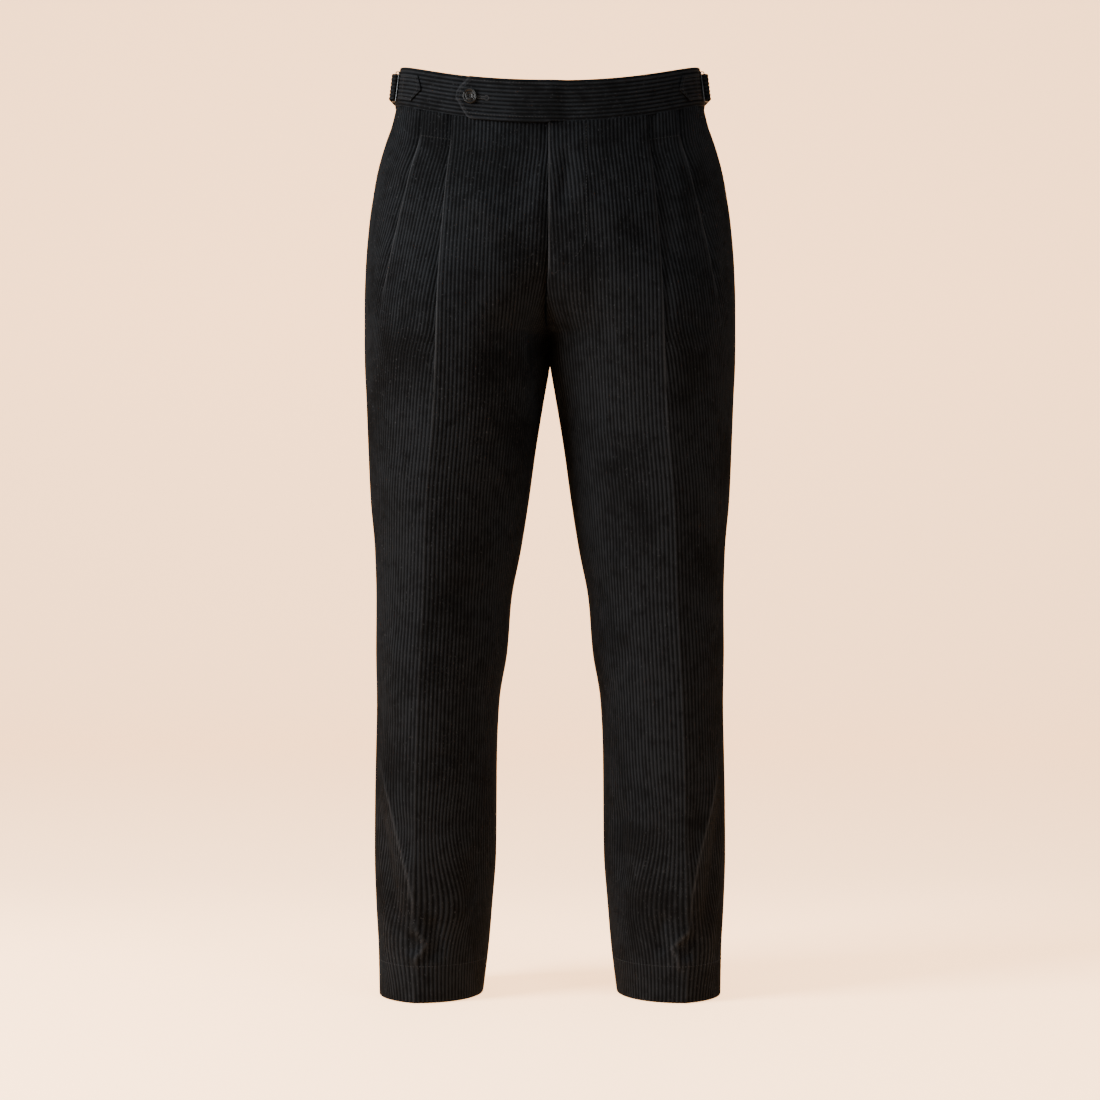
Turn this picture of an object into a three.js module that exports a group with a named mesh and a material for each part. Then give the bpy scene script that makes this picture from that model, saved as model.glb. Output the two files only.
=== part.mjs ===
// Pleated corduroy trousers, filled out as worn, with open waist and open hems.
// Millimetres, +Z up. The front faces -Y and the wearer's left is at +X.
// The origin is the centre of the waistband ring, and heights in the tables are above the hem.
import * as THREE from "three";

// Driving dimensions
const ORIGIN_HEIGHT = 980;
const BAND_BOTTOM = 970;
const BAND_TOP = 1012;
const CROTCH_HEIGHT = 716;
const SEAM_GAP = 0.3;
const WAIST_SEAM = 0.5;
const CLOTH = 1.5;
const BAND_CLOTH = 2.8;
const HEM_DEPTH = 41;
const HEM_CLOTH = 2.6;

const FLY_BOTTOM = 808;
const FLY_SEAM_TOP = 776;
const FLY_LEVEL = 750;
const FLY_OVERLAP = 1.2;
const FLY_UNDERLAP = 8;
const FLY_STEP = 2.7;

const OUTSEAM_BACK = 30;
const MOUTH_TOP = 82;
const MOUTH_LENGTH = 168;
const MOUTH_LIFT = 0.9;
const FACING_TUCK = 8;
const FACING_DROP = 2.7;

const PLEAT_RADIUS = 1.05;
const PLEAT_RAMP = 20;
const PLEAT_LEAST = 4;
const CREASE_REACH = 24;

const TAB_LENGTH = 103;
const TAB_LIFT = 3.1;
const SLIDE_ARC = 201;
const SLIDE_WIRE = 1.8;
const BUTTON_RADIUS = 8.3;
const BUTTON_ARC = 85.5;

const COLOURS = { cloth: 0x101011, metal: 0x8c8c8e, horn: 0x0b0b0c };

// Turns rows of numbers into records with named columns.
function namedRows(names, rows) {
  return rows.map((row) => Object.fromEntries(names.map((name, column) => [name, row[column]])));
}

// One row for each level of a leg, measured from the middle of the body.
// outer, inner: widest and innermost x. front, back: depth forward and backward.
// frontX, backX: x of the foremost and rearmost point. outerY, innerY: y of the widest and innermost point.
// square: roundness of the section. dip: how far the front hangs lower. peak: height of the pressed crease.
const LEVEL_COLUMNS = [
  "height", "outer", "inner", "front", "back", "frontX",
  "backX", "outerY", "innerY", "square", "dip", "peak",
];
const LEVELS = namedRows(LEVEL_COLUMNS, [
  [1012, 165.0, -150, 119, 118, 0, 0, 0, 0, 2.25, 32, 0],
  [970, 170.5, -150, 124, 122, 0, 0, 0, 0, 2.25, 34, 0],
  [941, 178.0, -150, 130, 127, 0, 2, 0, 0, 2.28, 30, 0],
  [892, 189.8, -150, 137, 138, 8, 15, 0, 0, 2.32, 18, 0],
  [840, 198.2, -130, 141, 146, 25, 45, 2, 0, 2.35, 8, 0.5],
  [790, 202.0, -85, 141, 148, 55, 80, 1, 0, 2.33, 2, 1.5],
  [751, 203.0, -40, 139, 144, 85, 95, 0, -2, 2.3, 0, 2.5],
  [724, 203.0, -8, 136, 138, 98, 100, 0, -4, 2.28, 0, 3.2],
  [716, 203.0, 0.15, 135, 136, 100, 100, -1, -4, 2.26, 0, 3.5],
  [688, 202.6, 0.9, 131, 131, 104, 100, -3, -5, 2.22, 0, 4],
  [650, 200.8, 6.6, 125, 121, 107, 98, -6, -6, 2.16, 0, 4.8],
  [595, 198.5, 15.5, 118, 109, 112, 98, -10, -6, 2.1, 0, 5.5],
  [540, 195.8, 23.1, 111, 99, 116, 98, -14, -6, 2.05, 0, 6],
  [485, 190.9, 31.9, 105, 91, 118, 102, -17, -5, 2.0, 0, 6.5],
  [430, 189.2, 42.4, 99, 84, 122, 106, -20, -5, 2.0, 0, 7],
  [375, 189.5, 46.8, 95, 79, 125, 108, -20, -4, 2.0, 0, 7],
  [320, 188.7, 55.6, 91, 76, 128, 112, -18, -3, 2.0, 0, 7],
  [265, 189.8, 58.3, 87, 74, 130, 116, -16, -1, 2.0, 0, 7],
  [210, 190.9, 58.9, 83, 73, 131, 118, -14, 0, 2.0, 0, 7],
  [155, 191.4, 59.4, 80, 72, 132, 120, -12, 1, 2.0, 0, 6.5],
  [100, 189.8, 63.3, 77.5, 71, 133, 122, -11, 2, 2.0, 0, 6],
  [50, 187.2, 67.6, 75, 69, 134, 124, -10, 3, 2.0, 0, 6],
  [0, 186.2, 73.7, 73, 67, 134, 126, -10, 3, 2.0, 0, 6],
]);

// One row for each level of the front's two pleats.
// creaseX: x of the first pleat's fold, which runs on as the pressed crease.
// second: the second pleat's place between that fold (0) and the outseam (1).
// depth1, depth2: how far each pleat is folded under.
const PLEAT_COLUMNS = ["height", "creaseX", "second", "depth1", "depth2"];
const PLEATS = namedRows(PLEAT_COLUMNS, [
  [1012, 102, 0.225, 18, 15],
  [970, 104, 0.23, 18, 15],
  [941, 105.1, 0.232, 18, 15],
  [892, 109.5, 0.262, 15, 12],
  [840, 113, 0.295, 11.5, 8],
  [790, 116, 0.335, 8, 4.5],
  [751, 117.6, 0.37, 5.5, 0],
  [716, 118.6, 0.39, 4, 0],
  [688, 119.6, 0.4, 0, 0],
  [622, 122.7, 0.4, 0, 0],
  [538, 129.6, 0.4, 0, 0],
  [432, 133.4, 0.4, 0, 0],
  [325, 139, 0.4, 0, 0],
  [218, 142.6, 0.4, 0, 0],
  [110, 145, 0.4, 0, 0],
  [0, 144, 0.4, 0, 0],
]);

// The soft folds where each leg breaks over the foot, and the marks behind the knee.
// across: distance from the pressed crease, + towards the outseam, - towards the inseam.
// rise: + stands out, - sinks in. width: half width of the fold.
const FOLD_COLUMNS = ["fromAcross", "fromHeight", "toAcross", "toHeight", "width", "rise"];
const FRONT_FOLDS = namedRows(FOLD_COLUMNS, [
  [84, 254, 6, 96, 13, 5],
  [70, 214, 16, 66, 12, -4.5],
  [4, 104, -24, 66, 10, 5],
  [-18, 116, -62, 70, 13, -4],
  [-30, 190, -84, 132, 15, 3],
]);
const BACK_FOLDS = namedRows(FOLD_COLUMNS, [
  [-60, 452, 20, 426, 14, -4],
  [-40, 404, 44, 384, 15, 3.5],
  [60, 232, -10, 146, 15, 4],
  [-60, 176, -8, 112, 13, -4],
  [60, 680, -40, 640, 24, -2.5],
]);

const SECTION_STEPS = 24;
const { clamp, lerp, smoothstep } = THREE.MathUtils;

// A smooth curve through one column of a table, which never swings past its rows.
function tableCurve(rows, column) {
  const up = [...rows].sort((a, b) => a.height - b.height);
  const x = up.map((row) => row.height);
  const v = up.map((row) => row[column]);
  const rate = x.slice(1).map((next, i) => (v[i + 1] - v[i]) / (next - x[i]));
  const slope = v.map((_, i) => {
    if (i === 0) return rate[0];
    if (i === v.length - 1) return rate[i - 1];
    if (rate[i - 1] * rate[i] <= 0) return 0;
    const before = 2 * (x[i + 1] - x[i]) + (x[i] - x[i - 1]);
    const after = x[i + 1] - x[i] + 2 * (x[i] - x[i - 1]);
    return (before + after) / (before / rate[i - 1] + after / rate[i]);
  });
  return (height) => {
    const at = clamp(height, x[0], x[x.length - 1]);
    let i = 0;
    while (i < x.length - 2 && at > x[i + 1]) i += 1;
    const run = x[i + 1] - x[i];
    const t = (at - x[i]) / run;
    const start = v[i] * (1 + 2 * t) * (1 - t) ** 2 + slope[i] * run * t * (1 - t) ** 2;
    const end = v[i + 1] * t * t * (3 - 2 * t) - slope[i + 1] * run * t * t * (1 - t);
    return start + end;
  };
}

function tableCurves(rows) {
  const columns = Object.keys(rows[0]).filter((name) => name !== "height");
  return Object.fromEntries(columns.map((name) => [name, tableCurve(rows, name)]));
}

const level = tableCurves(LEVELS);
const pleat = tableCurves(PLEATS);

// Quarter of a rounded section from one end of a half axis to the other.
function quarter(fromX, fromY, toX, toY, cornerFirst, square) {
  const points = [];
  for (let i = 0; i < SECTION_STEPS; i += 1) {
    const turn = ((i / SECTION_STEPS) * Math.PI) / 2;
    const near = Math.cos(turn) ** (2 / square);
    const far = Math.sin(turn) ** (2 / square);
    const alongX = cornerFirst ? far : 1 - near;
    const alongY = cornerFirst ? 1 - near : far;
    points.push([lerp(fromX, toX, alongX), lerp(fromY, toY, alongY)]);
  }
  return points;
}

// The horizontal section of one leg at a height: a path from the inseam or centre front,
// round the outside, to the inseam or centre back.
function makeSection(height) {
  const { outer, inner, front, back, frontX, backX, outerY, innerY, square } = Object.fromEntries(
    Object.entries(level).map(([name, curve]) => [name, curve(height)]),
  );
  const whole = [
    ...quarter(inner, innerY, frontX, -front, false, square),
    ...quarter(frontX, -front, outer, outerY, true, square),
    ...quarter(outer, outerY, backX, back, false, square),
    ...quarter(backX, back, inner, innerY, true, square),
    [inner, innerY],
  ];
  const middle = SEAM_GAP / 2;
  const path = [];
  whole.forEach(([x, y], i) => {
    const before = whole[i - 1];
    if (before && before[0] < middle !== x < middle) {
      const t = (middle - before[0]) / (x - before[0]);
      path.push([middle, lerp(before[1], y, t)]);
    }
    if (x >= middle) path.push([x, y]);
  });
  const reach = [0];
  for (let i = 1; i < path.length; i += 1) {
    reach.push(reach[i - 1] + Math.hypot(path[i][0] - path[i - 1][0], path[i][1] - path[i - 1][1]));
  }
  return { height, path, reach, total: reach[reach.length - 1] };
}

// The point and the outward direction at a distance along a section. Past its ends it goes straight on.
function alongSection(section, distance) {
  const { path, reach } = section;
  let i = 0;
  while (i < path.length - 2 && distance > reach[i + 1]) i += 1;
  const t = (distance - reach[i]) / (reach[i + 1] - reach[i]);
  const direction = (k) => {
    const a = path[Math.max(k, 0)];
    const b = path[Math.min(k + 1, path.length - 1)];
    const length = Math.hypot(b[0] - a[0], b[1] - a[1]);
    return [(b[0] - a[0]) / length, (b[1] - a[1]) / length];
  };
  const here = direction(i);
  const side = t < 0.5 ? direction(Math.max(i - 1, 0)) : direction(Math.min(i + 1, path.length - 2));
  const share = Math.min(Math.abs(t - 0.5), 0.5);
  const along = new THREE.Vector2(lerp(here[0], side[0], share), lerp(here[1], side[1], share)).normalize();
  return {
    x: lerp(path[i][0], path[i + 1][0], t),
    y: lerp(path[i][1], path[i + 1][1], t),
    outX: along.y,
    outY: -along.x,
  };
}

// Distance along a section to its first point where the test holds.
function distanceTo(section, test) {
  const { path, reach } = section;
  for (let i = 1; i < path.length; i += 1) {
    const before = test(path[i - 1]);
    const after = test(path[i]);
    if (before < 0 && after >= 0) return lerp(reach[i - 1], reach[i], before / (before - after));
  }
  return reach[reach.length - 1];
}

const rings = new Map();

// A section with the places that the panels share: crease, second pleat, outseam and back crease.
function ringAt(height) {
  if (!rings.has(height)) {
    const section = makeSection(height);
    const creaseX = pleat.creaseX(height);
    const outerY = level.outerY(height);
    const pastOutseam = ([x, y]) => (x > level.backX(height) ? y - outerY - OUTSEAM_BACK : -1);
    const outseam = distanceTo(section, pastOutseam);
    const crease = distanceTo(section, ([x]) => x - creaseX);
    const middleX = (level.outer(height) + Math.max(level.inner(height), 0)) / 2;
    const backCreaseX = middleX - 0.8 * (creaseX - middleX);
    const backCrease = distanceTo(section, ([x, y]) => (y > 0 ? backCreaseX - x : -1));
    const second = lerp(crease, outseam, pleat.second(height));
    rings.set(height, { section, crease, second, outseam, backCrease, total: section.total });
  }
  return rings.get(height);
}

// How far a pressed crease stands out at a distance along the section.
function creaseRise(ring, distance) {
  const peak = level.peak(ring.section.height);
  const reach = (place) => Math.exp(-Math.abs(distance - place) / CREASE_REACH);
  const fade = 1 - smoothstep(ring.section.height, 560, 760);
  return peak * reach(ring.crease) + peak * fade * reach(ring.backCrease);
}

// How far the table's folds raise or sink the cloth at a place.
function foldRise(folds, across, height) {
  return folds.reduce((sum, fold) => {
    const run = [fold.toAcross - fold.fromAcross, fold.toHeight - fold.fromHeight];
    const from = [across - fold.fromAcross, height - fold.fromHeight];
    const length = Math.hypot(...run);
    const along = (from[0] * run[0] + from[1] * run[1]) / length ** 2;
    const off = (from[0] * run[1] - from[1] * run[0]) / length;
    const ends = Math.exp(-Math.max(Math.abs(along - 0.5) - 0.32, 0) * 9);
    return sum + fold.rise * ends * Math.exp(-((off / fold.width) ** 2));
  }, 0);
}

// A point of the garment's middle surface. Depth is + outward, counted from the outer face of the cloth.
function surfacePoint(side, height, distance, depth) {
  const ring = ringAt(height);
  const { x, y, outX, outY } = alongSection(ring.section, distance);
  const out = depth + creaseRise(ring, distance);
  const dip = level.dip(height);
  const edge = y < 0 ? (y / level.front(height)) ** 2 : -0.15 * (y / level.back(height)) ** 2;
  return new THREE.Vector3(side * (x + outX * out), y + outY * out, height - dip * edge - ORIGIN_HEIGHT);
}

// A closed wall round a grid of middle points. Rows run upward and columns run round the body.
// The first and last column lie just past the piece, and only give the direction of its edges.
function wallGeometry(grid, thicknessAt) {
  const rows = grid.length;
  const columns = grid[0].length - 2;
  const positions = [];
  const normalAt = (i, j) => {
    const up = grid[Math.min(i + 1, rows - 1)][j].clone().sub(grid[Math.max(i - 1, 0)][j]);
    const after = grid[i][j === 1 ? 1 : j + 1];
    const before = grid[i][j === columns ? columns : j - 1];
    const round = j === columns ? grid[i][columns + 1].clone().sub(before) : after.clone().sub(before);
    return round.cross(up).normalize();
  };
  [1, -1].forEach((face) => {
    for (let i = 0; i < rows; i += 1) {
      for (let j = 1; j <= columns; j += 1) {
        const moved = grid[i][j].clone().addScaledVector(normalAt(i, j), (face * thicknessAt(i)) / 2);
        positions.push(...moved.toArray());
      }
    }
  });
  const faces = [];
  const index = (face, i, j) => face * rows * columns + i * columns + j;
  const quad = (a, b, c, d) => faces.push(a, b, c, a, c, d);
  for (let i = 0; i < rows - 1; i += 1) {
    for (let j = 0; j < columns - 1; j += 1) {
      quad(index(0, i, j), index(0, i, j + 1), index(0, i + 1, j + 1), index(0, i + 1, j));
      quad(index(1, i, j), index(1, i + 1, j), index(1, i + 1, j + 1), index(1, i, j + 1));
    }
  }
  for (let j = 0; j < columns - 1; j += 1) {
    quad(index(0, 0, j), index(1, 0, j), index(1, 0, j + 1), index(0, 0, j + 1));
    quad(index(0, rows - 1, j), index(0, rows - 1, j + 1), index(1, rows - 1, j + 1), index(1, rows - 1, j));
  }
  for (let i = 0; i < rows - 1; i += 1) {
    quad(index(0, i, 0), index(0, i + 1, 0), index(1, i + 1, 0), index(1, i, 0));
    const last = columns - 1;
    quad(index(0, i, last), index(1, i, last), index(1, i + 1, last), index(0, i + 1, last));
  }
  const geometry = new THREE.BufferGeometry();
  geometry.setAttribute("position", new THREE.Float32BufferAttribute(positions, 3));
  geometry.setIndex(faces);
  return geometry;
}

// Columns are given from the centre outward, so the wearer's right side is turned round to keep faces out.
function panelGeometry(side, rows, thicknessAt) {
  const grid = side > 0 ? rows : rows.map((row) => [...row].reverse());
  return wallGeometry(grid, thicknessAt);
}

// Heights of the rows of points, closest together at the crotch and the pleats.
const PANEL_HEIGHTS = [
  0, 20, HEM_DEPTH, 64, 90, 118, 150, 184, 220, 262, 320, 384, 430, 500, 570, 635, 680, 704, CROTCH_HEIGHT,
  718, 723, 733, FLY_LEVEL, FLY_SEAM_TOP, FLY_BOTTOM, 842, 876, 908, 934, 955, BAND_BOTTOM - WAIST_SEAM,
];
const EDGE_REACH = 2;

const clothDepth = -CLOTH / 2;

// The cloth is doubled inside over the depth of the hem.
function legThickness(row) {
  return PANEL_HEIGHTS[row] <= HEM_DEPTH ? HEM_CLOTH : CLOTH;
}

function legDepth(height) {
  return height <= HEM_DEPTH ? -HEM_CLOTH / 2 : clothDepth;
}

// Where the front panel ends at its outer edge: on the outseam, or on the slanted pocket mouth.
function mouthDistance(height) {
  const share = clamp((height - (BAND_BOTTOM - MOUTH_LENGTH)) / MOUTH_LENGTH, 0, 1);
  return ringAt(height).outseam - MOUTH_TOP * share;
}

// Half of the gap at the inseam, wider where four panels meet at the crotch.
function inseamInset(height) {
  return SEAM_GAP / 2 + 0.3 * Math.exp(-(((height - CROTCH_HEIGHT) / 10) ** 2));
}

// The centre front edge: the wearer's left fly laps over the right one, and below it the two meet at a seam.
function centreFront(side, height) {
  if (height <= CROTCH_HEIGHT) return { start: inseamInset(height), drop: 0 };
  const open = smoothstep(height, FLY_SEAM_TOP, FLY_BOTTOM);
  const sunk = smoothstep(height, FLY_LEVEL, FLY_SEAM_TOP);
  if (side > 0) return { start: -FLY_OVERLAP * open, drop: 0 };
  return { start: -FLY_UNDERLAP * open, drop: -FLY_STEP * sunk };
}

// One pleat as pairs of distance and depth: out over the fold, back under it, and out again.
// Where the pleat has opened, the same points lie evenly on the cloth.
function pleatPairs(depth) {
  const r = PLEAT_RADIUS;
  const under = Math.max(depth, PLEAT_LEAST);
  const folded = [
    [-under - 5, 0],
    [-0.9, 0],
    [0, -r],
    [-0.9, -2 * r],
    [-under + 0.9, -2 * r],
    [-under, -3 * r],
    [-under + 0.9, -4 * r],
    [1, -4 * r],
    [PLEAT_RAMP * 0.45, -2.6 * r],
    [PLEAT_RAMP, 0],
  ];
  const open = clamp(depth / PLEAT_LEAST, 0, 1);
  return folded.map(([along, deep], i) => {
    const even = lerp(-9, PLEAT_RAMP, i / (folded.length - 1));
    return [lerp(even, along, open), deep * open];
  });
}

function evenly(from, to, count) {
  return Array.from({ length: count }, (_, i) => lerp(from, to, (i + 0.5) / count));
}

function frontRow(side, height) {
  const ring = ringAt(height);
  const { start, drop } = centreFront(side, height);
  const end = mouthDistance(height) - SEAM_GAP / 2;
  const first = pleatPairs(pleat.depth1(height)).map(([along, deep]) => [ring.crease + along, deep]);
  const second = pleatPairs(pleat.depth2(height)).map(([along, deep]) => [ring.second + along, deep]);
  const lift = smoothstep(height, 800, 850) * MOUTH_LIFT;
  const sink = (distance) => drop * (1 - smoothstep(distance, 2, FLY_UNDERLAP + 6));
  const columns = [
    [start - EDGE_REACH, sink(start)],
    [start, sink(start)],
    ...[0.045, 0.1].map((share) => lerp(start, first[0][0], share)).map((at) => [at, sink(at)]),
    ...evenly(lerp(start, first[0][0], 0.16), first[0][0], 6).map((at) => [at, sink(at)]),
    ...first,
    ...evenly(first[9][0], second[0][0], 2).map((at) => [at, 0]),
    ...second,
    ...evenly(second[9][0], end - 4, 4).map((at) => [at, 0]),
    [end, lift],
    [end + EDGE_REACH, lift],
  ];
  return columns.map(([distance, deep]) => {
    const fold = foldRise(FRONT_FOLDS, distance - ring.crease, height);
    return surfacePoint(side, height, distance, legDepth(height) + deep + fold);
  });
}

function backRow(side, height) {
  const ring = ringAt(height);
  const start = ring.outseam + SEAM_GAP / 2;
  const end = ring.total - (height <= CROTCH_HEIGHT ? inseamInset(height) : 0);
  const inside = [0, 0.04, ...evenly(0.04, 0.96, 11), 0.96, 1].map((share) => lerp(start, end, share));
  return [start - EDGE_REACH, ...inside, end + EDGE_REACH].map((distance) => {
    const fold = foldRise(BACK_FOLDS, distance - ring.backCrease, height);
    return surfacePoint(side, height, distance, legDepth(height) + fold);
  });
}

function facingRow(side, height) {
  const mouth = mouthDistance(height);
  const end = ringAt(height).outseam - SEAM_GAP / 2;
  const tuck = mouth - FACING_TUCK;
  const distances = [tuck - EDGE_REACH, tuck, mouth, ...evenly(mouth, end, 4), end, end + EDGE_REACH];
  return distances.map((distance) => {
    const rise = smoothstep(Math.min(distance, end), mouth + (end - mouth) * 0.25, end);
    return surfacePoint(side, height, distance, clothDepth - FACING_DROP * (1 - rise));
  });
}

// Waistband

// A point on the waistband. The arc runs from the centre front, + to the wearer's left.
// Share is 0 at its lower edge and 1 at its upper edge.
function bandPoint(arc, share, depth) {
  const side = arc < 0 ? -1 : 1;
  const height = lerp(BAND_BOTTOM, BAND_TOP, share);
  const scale = ringAt(height).total / ringAt(BAND_BOTTOM).total;
  const point = surfacePoint(side, height, Math.abs(arc) * scale, depth);
  if (Math.abs(arc) < 6) point.x = (arc / 6) * Math.abs(surfacePoint(side, height, 6 * scale, depth).x);
  return point;
}

// A strip that follows the waistband, from stations of arc, lower share, upper share and depth.
function bandStrip(stations, thickness) {
  const last = stations[stations.length - 1];
  const forward = last.arc > stations[0].arc;
  const reach = forward ? EDGE_REACH : -EDGE_REACH;
  const whole = [
    { ...stations[0], arc: stations[0].arc - reach },
    ...stations,
    { ...last, arc: last.arc + reach },
  ];
  const rows = [0, 0.5, 1].map((share) =>
    whole.map(({ arc, low = 0, high = 1, depth }) => bandPoint(arc, lerp(low, high, share), depth)),
  );
  const grid = forward ? rows : rows.map((row) => [...row].reverse());
  return wallGeometry(grid, () => thickness);
}

const bandTotal = ringAt(BAND_BOTTOM).total - SEAM_GAP / 2;
const bandDepth = -BAND_CLOTH / 2;

// The tab's pointed end, seen square on: how much of the band's height it keeps at each arc.
const TAB_END = [
  { arc: -TAB_LENGTH, low: 0.42, high: 0.53 },
  { arc: -TAB_LENGTH + 1.5, low: 0.36, high: 0.62 },
  { arc: -TAB_LENGTH + 4.5, low: 0.3, high: 0.735 },
  { arc: -TAB_LENGTH + 9, low: 0.155, high: 0.85 },
  { arc: -TAB_LENGTH + 14.5, low: 0, high: 1 },
];

function leftBand() {
  const lift = (arc) => bandDepth + TAB_LIFT * (1 - smoothstep(arc, 0, 22));
  const run = [...evenly(-TAB_LENGTH + 14.5, 0, 7), 0, 6, 14, 22, ...evenly(22, bandTotal, 22), bandTotal];
  const stations = [...TAB_END, ...run.map((arc) => ({ arc }))];
  return bandStrip(stations.map((station) => ({ ...station, depth: lift(station.arc) })), BAND_CLOTH);
}

function rightBand() {
  const arcs = [-2, ...evenly(-2, -bandTotal, 28), -bandTotal];
  return bandStrip(arcs.map((arc) => ({ arc, depth: bandDepth })), BAND_CLOTH);
}

// Side adjusters

const STRAP_LOW = 0.17;
const STRAP_HIGH = 0.83;
const LAYER = 1.6;

// The pointed tab lies on the waistband in front of the slide.
function adjusterTab(side) {
  const depth = SEAM_GAP + LAYER / 2;
  const stations = [
    { arc: SLIDE_ARC - 50, low: 0.47, high: 0.53 },
    { arc: SLIDE_ARC - 47, low: 0.36, high: 0.62 },
    { arc: SLIDE_ARC - 42, low: 0.22, high: 0.76 },
    { arc: SLIDE_ARC - 37, low: STRAP_LOW, high: STRAP_HIGH },
    { arc: SLIDE_ARC - 24, low: STRAP_LOW, high: STRAP_HIGH },
    { arc: SLIDE_ARC - 12, low: STRAP_LOW, high: STRAP_HIGH },
    { arc: SLIDE_ARC - 3.2, low: STRAP_LOW, high: STRAP_HIGH },
  ];
  return bandStrip(stations.map((station) => ({ ...station, arc: side * station.arc, depth })), LAYER);
}

// The strap comes from the back, goes round the slide's rear bar and lies back on itself.
function adjusterStrap(side) {
  const route = [
    [114, 1.7],
    [112, 1.7],
    [92, 1.7],
    [70, 1.7],
    [48, 1.7],
    [30, 1.7],
    [18, 1.7],
    [10, 1.7],
    [6.2, 2.1],
    [4.4, 3.4],
    [4.2, 5.2],
    [5.6, 7.1],
    [9, 8.0],
    [14, 7.8],
    [21, 6.6],
    [30, 5.2],
    [40, 4.2],
    [52, 3.8],
    [66, 3.7],
    [68, 3.7],
  ];
  const rows = [0, 0.5, 1].map((share) =>
    route.map(([behind, depth]) => {
      const high = lerp(STRAP_LOW, STRAP_HIGH, share);
      return bandPoint(side * (SLIDE_ARC + behind), high, depth);
    }),
  );
  const grid = side > 0 ? rows.map((row) => [...row].reverse()) : rows;
  return wallGeometry(grid, () => LAYER);
}

// The slide is a flat wire frame: front bar, rear bar and two short sides.
function adjusterSlide(side) {
  const frameArcs = [-1.2, 8.6];
  const depth = 3.2;
  const low = STRAP_LOW - 0.055;
  const high = STRAP_HIGH + 0.055;
  const corners = [
    bandPoint(side * (SLIDE_ARC + frameArcs[0]), low, depth),
    bandPoint(side * (SLIDE_ARC + frameArcs[0]), high, depth),
    bandPoint(side * (SLIDE_ARC + frameArcs[1]), high, depth + 1.4),
    bandPoint(side * (SLIDE_ARC + frameArcs[1]), low, depth + 1.4),
  ];
  const middle = corners.reduce((sum, corner) => sum.add(corner), new THREE.Vector3()).divideScalar(4);
  const across = corners[3].clone().sub(corners[0]);
  const up = corners[1].clone().sub(corners[0]);
  const out = across.clone().cross(up).normalize().multiplyScalar(side);
  const half = SLIDE_WIRE / 2;
  const grow = (corner, amount) => {
    const away = corner.clone().sub(middle);
    const acrossUnit = across.clone().normalize();
    const upUnit = up.clone().normalize();
    return corner
      .clone()
      .addScaledVector(acrossUnit, Math.sign(away.dot(acrossUnit)) * amount)
      .addScaledVector(upUnit, Math.sign(away.dot(upUnit)) * amount);
  };
  const positions = [];
  [half, -half].forEach((amount) => {
    [half, -half].forEach((raise) => {
      corners.forEach((corner) => {
        positions.push(...grow(corner, amount).addScaledVector(out, raise).toArray());
      });
    });
  });
  const faces = [];
  const index = (loop, k) => loop * 4 + (k % 4);
  const strip = (a, b, k) => {
    const quad = [index(a, k), index(a, k + 1), index(b, k + 1), index(b, k)];
    if (side > 0) quad.reverse();
    faces.push(quad[0], quad[1], quad[2], quad[0], quad[2], quad[3]);
  };
  for (let k = 0; k < 4; k += 1) {
    strip(0, 2, k);
    strip(2, 3, k);
    strip(3, 1, k);
    strip(1, 0, k);
  }
  const geometry = new THREE.BufferGeometry();
  geometry.setAttribute("position", new THREE.Float32BufferAttribute(positions, 3));
  geometry.setIndex(faces);
  return geometry;
}

// Button

// Turned profile as pairs of radius and height: flat back, rounded rim, and a dished middle.
function buttonMesh(material) {
  const profile = [
    [0, 0],
    [BUTTON_RADIUS * 0.7, 0],
    [BUTTON_RADIUS * 0.95, 0.9],
    [BUTTON_RADIUS, 2.0],
    [BUTTON_RADIUS * 0.94, 3.1],
    [BUTTON_RADIUS * 0.82, 3.5],
    [BUTTON_RADIUS * 0.7, 3.1],
    [BUTTON_RADIUS * 0.64, 2.3],
    [BUTTON_RADIUS * 0.4, 1.9],
    [0, 1.8],
  ].map(([radius, high]) => new THREE.Vector2(radius, high));
  const geometry = new THREE.LatheGeometry(profile, 32);
  geometry.rotateX(Math.PI / 2);
  const mesh = new THREE.Mesh(geometry, material);
  const face = TAB_LIFT + 0.2;
  const round = bandPoint(2 - BUTTON_ARC, 0.5, face).sub(bandPoint(-2 - BUTTON_ARC, 0.5, face));
  const up = bandPoint(-BUTTON_ARC, 0.7, face).sub(bandPoint(-BUTTON_ARC, 0.3, face));
  const out = round.cross(up).normalize();
  const seat = bandPoint(-BUTTON_ARC, 0.5, face).addScaledVector(out, SEAM_GAP);
  mesh.position.copy(seat);
  mesh.lookAt(seat.clone().add(out));
  return mesh;
}

const clothMaterial = new THREE.MeshStandardMaterial({ color: COLOURS.cloth, roughness: 0.95, metalness: 0 });
const metalMaterial = new THREE.MeshStandardMaterial({ color: COLOURS.metal, roughness: 0.3, metalness: 1 });
const hornMaterial = new THREE.MeshStandardMaterial({ color: COLOURS.horn, roughness: 0.25, metalness: 0 });

const group = new THREE.Group();

function addPiece(name, geometry, material) {
  const mesh = new THREE.Mesh(geometry, material.clone());
  mesh.name = name;
  group.add(mesh);
}

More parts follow.
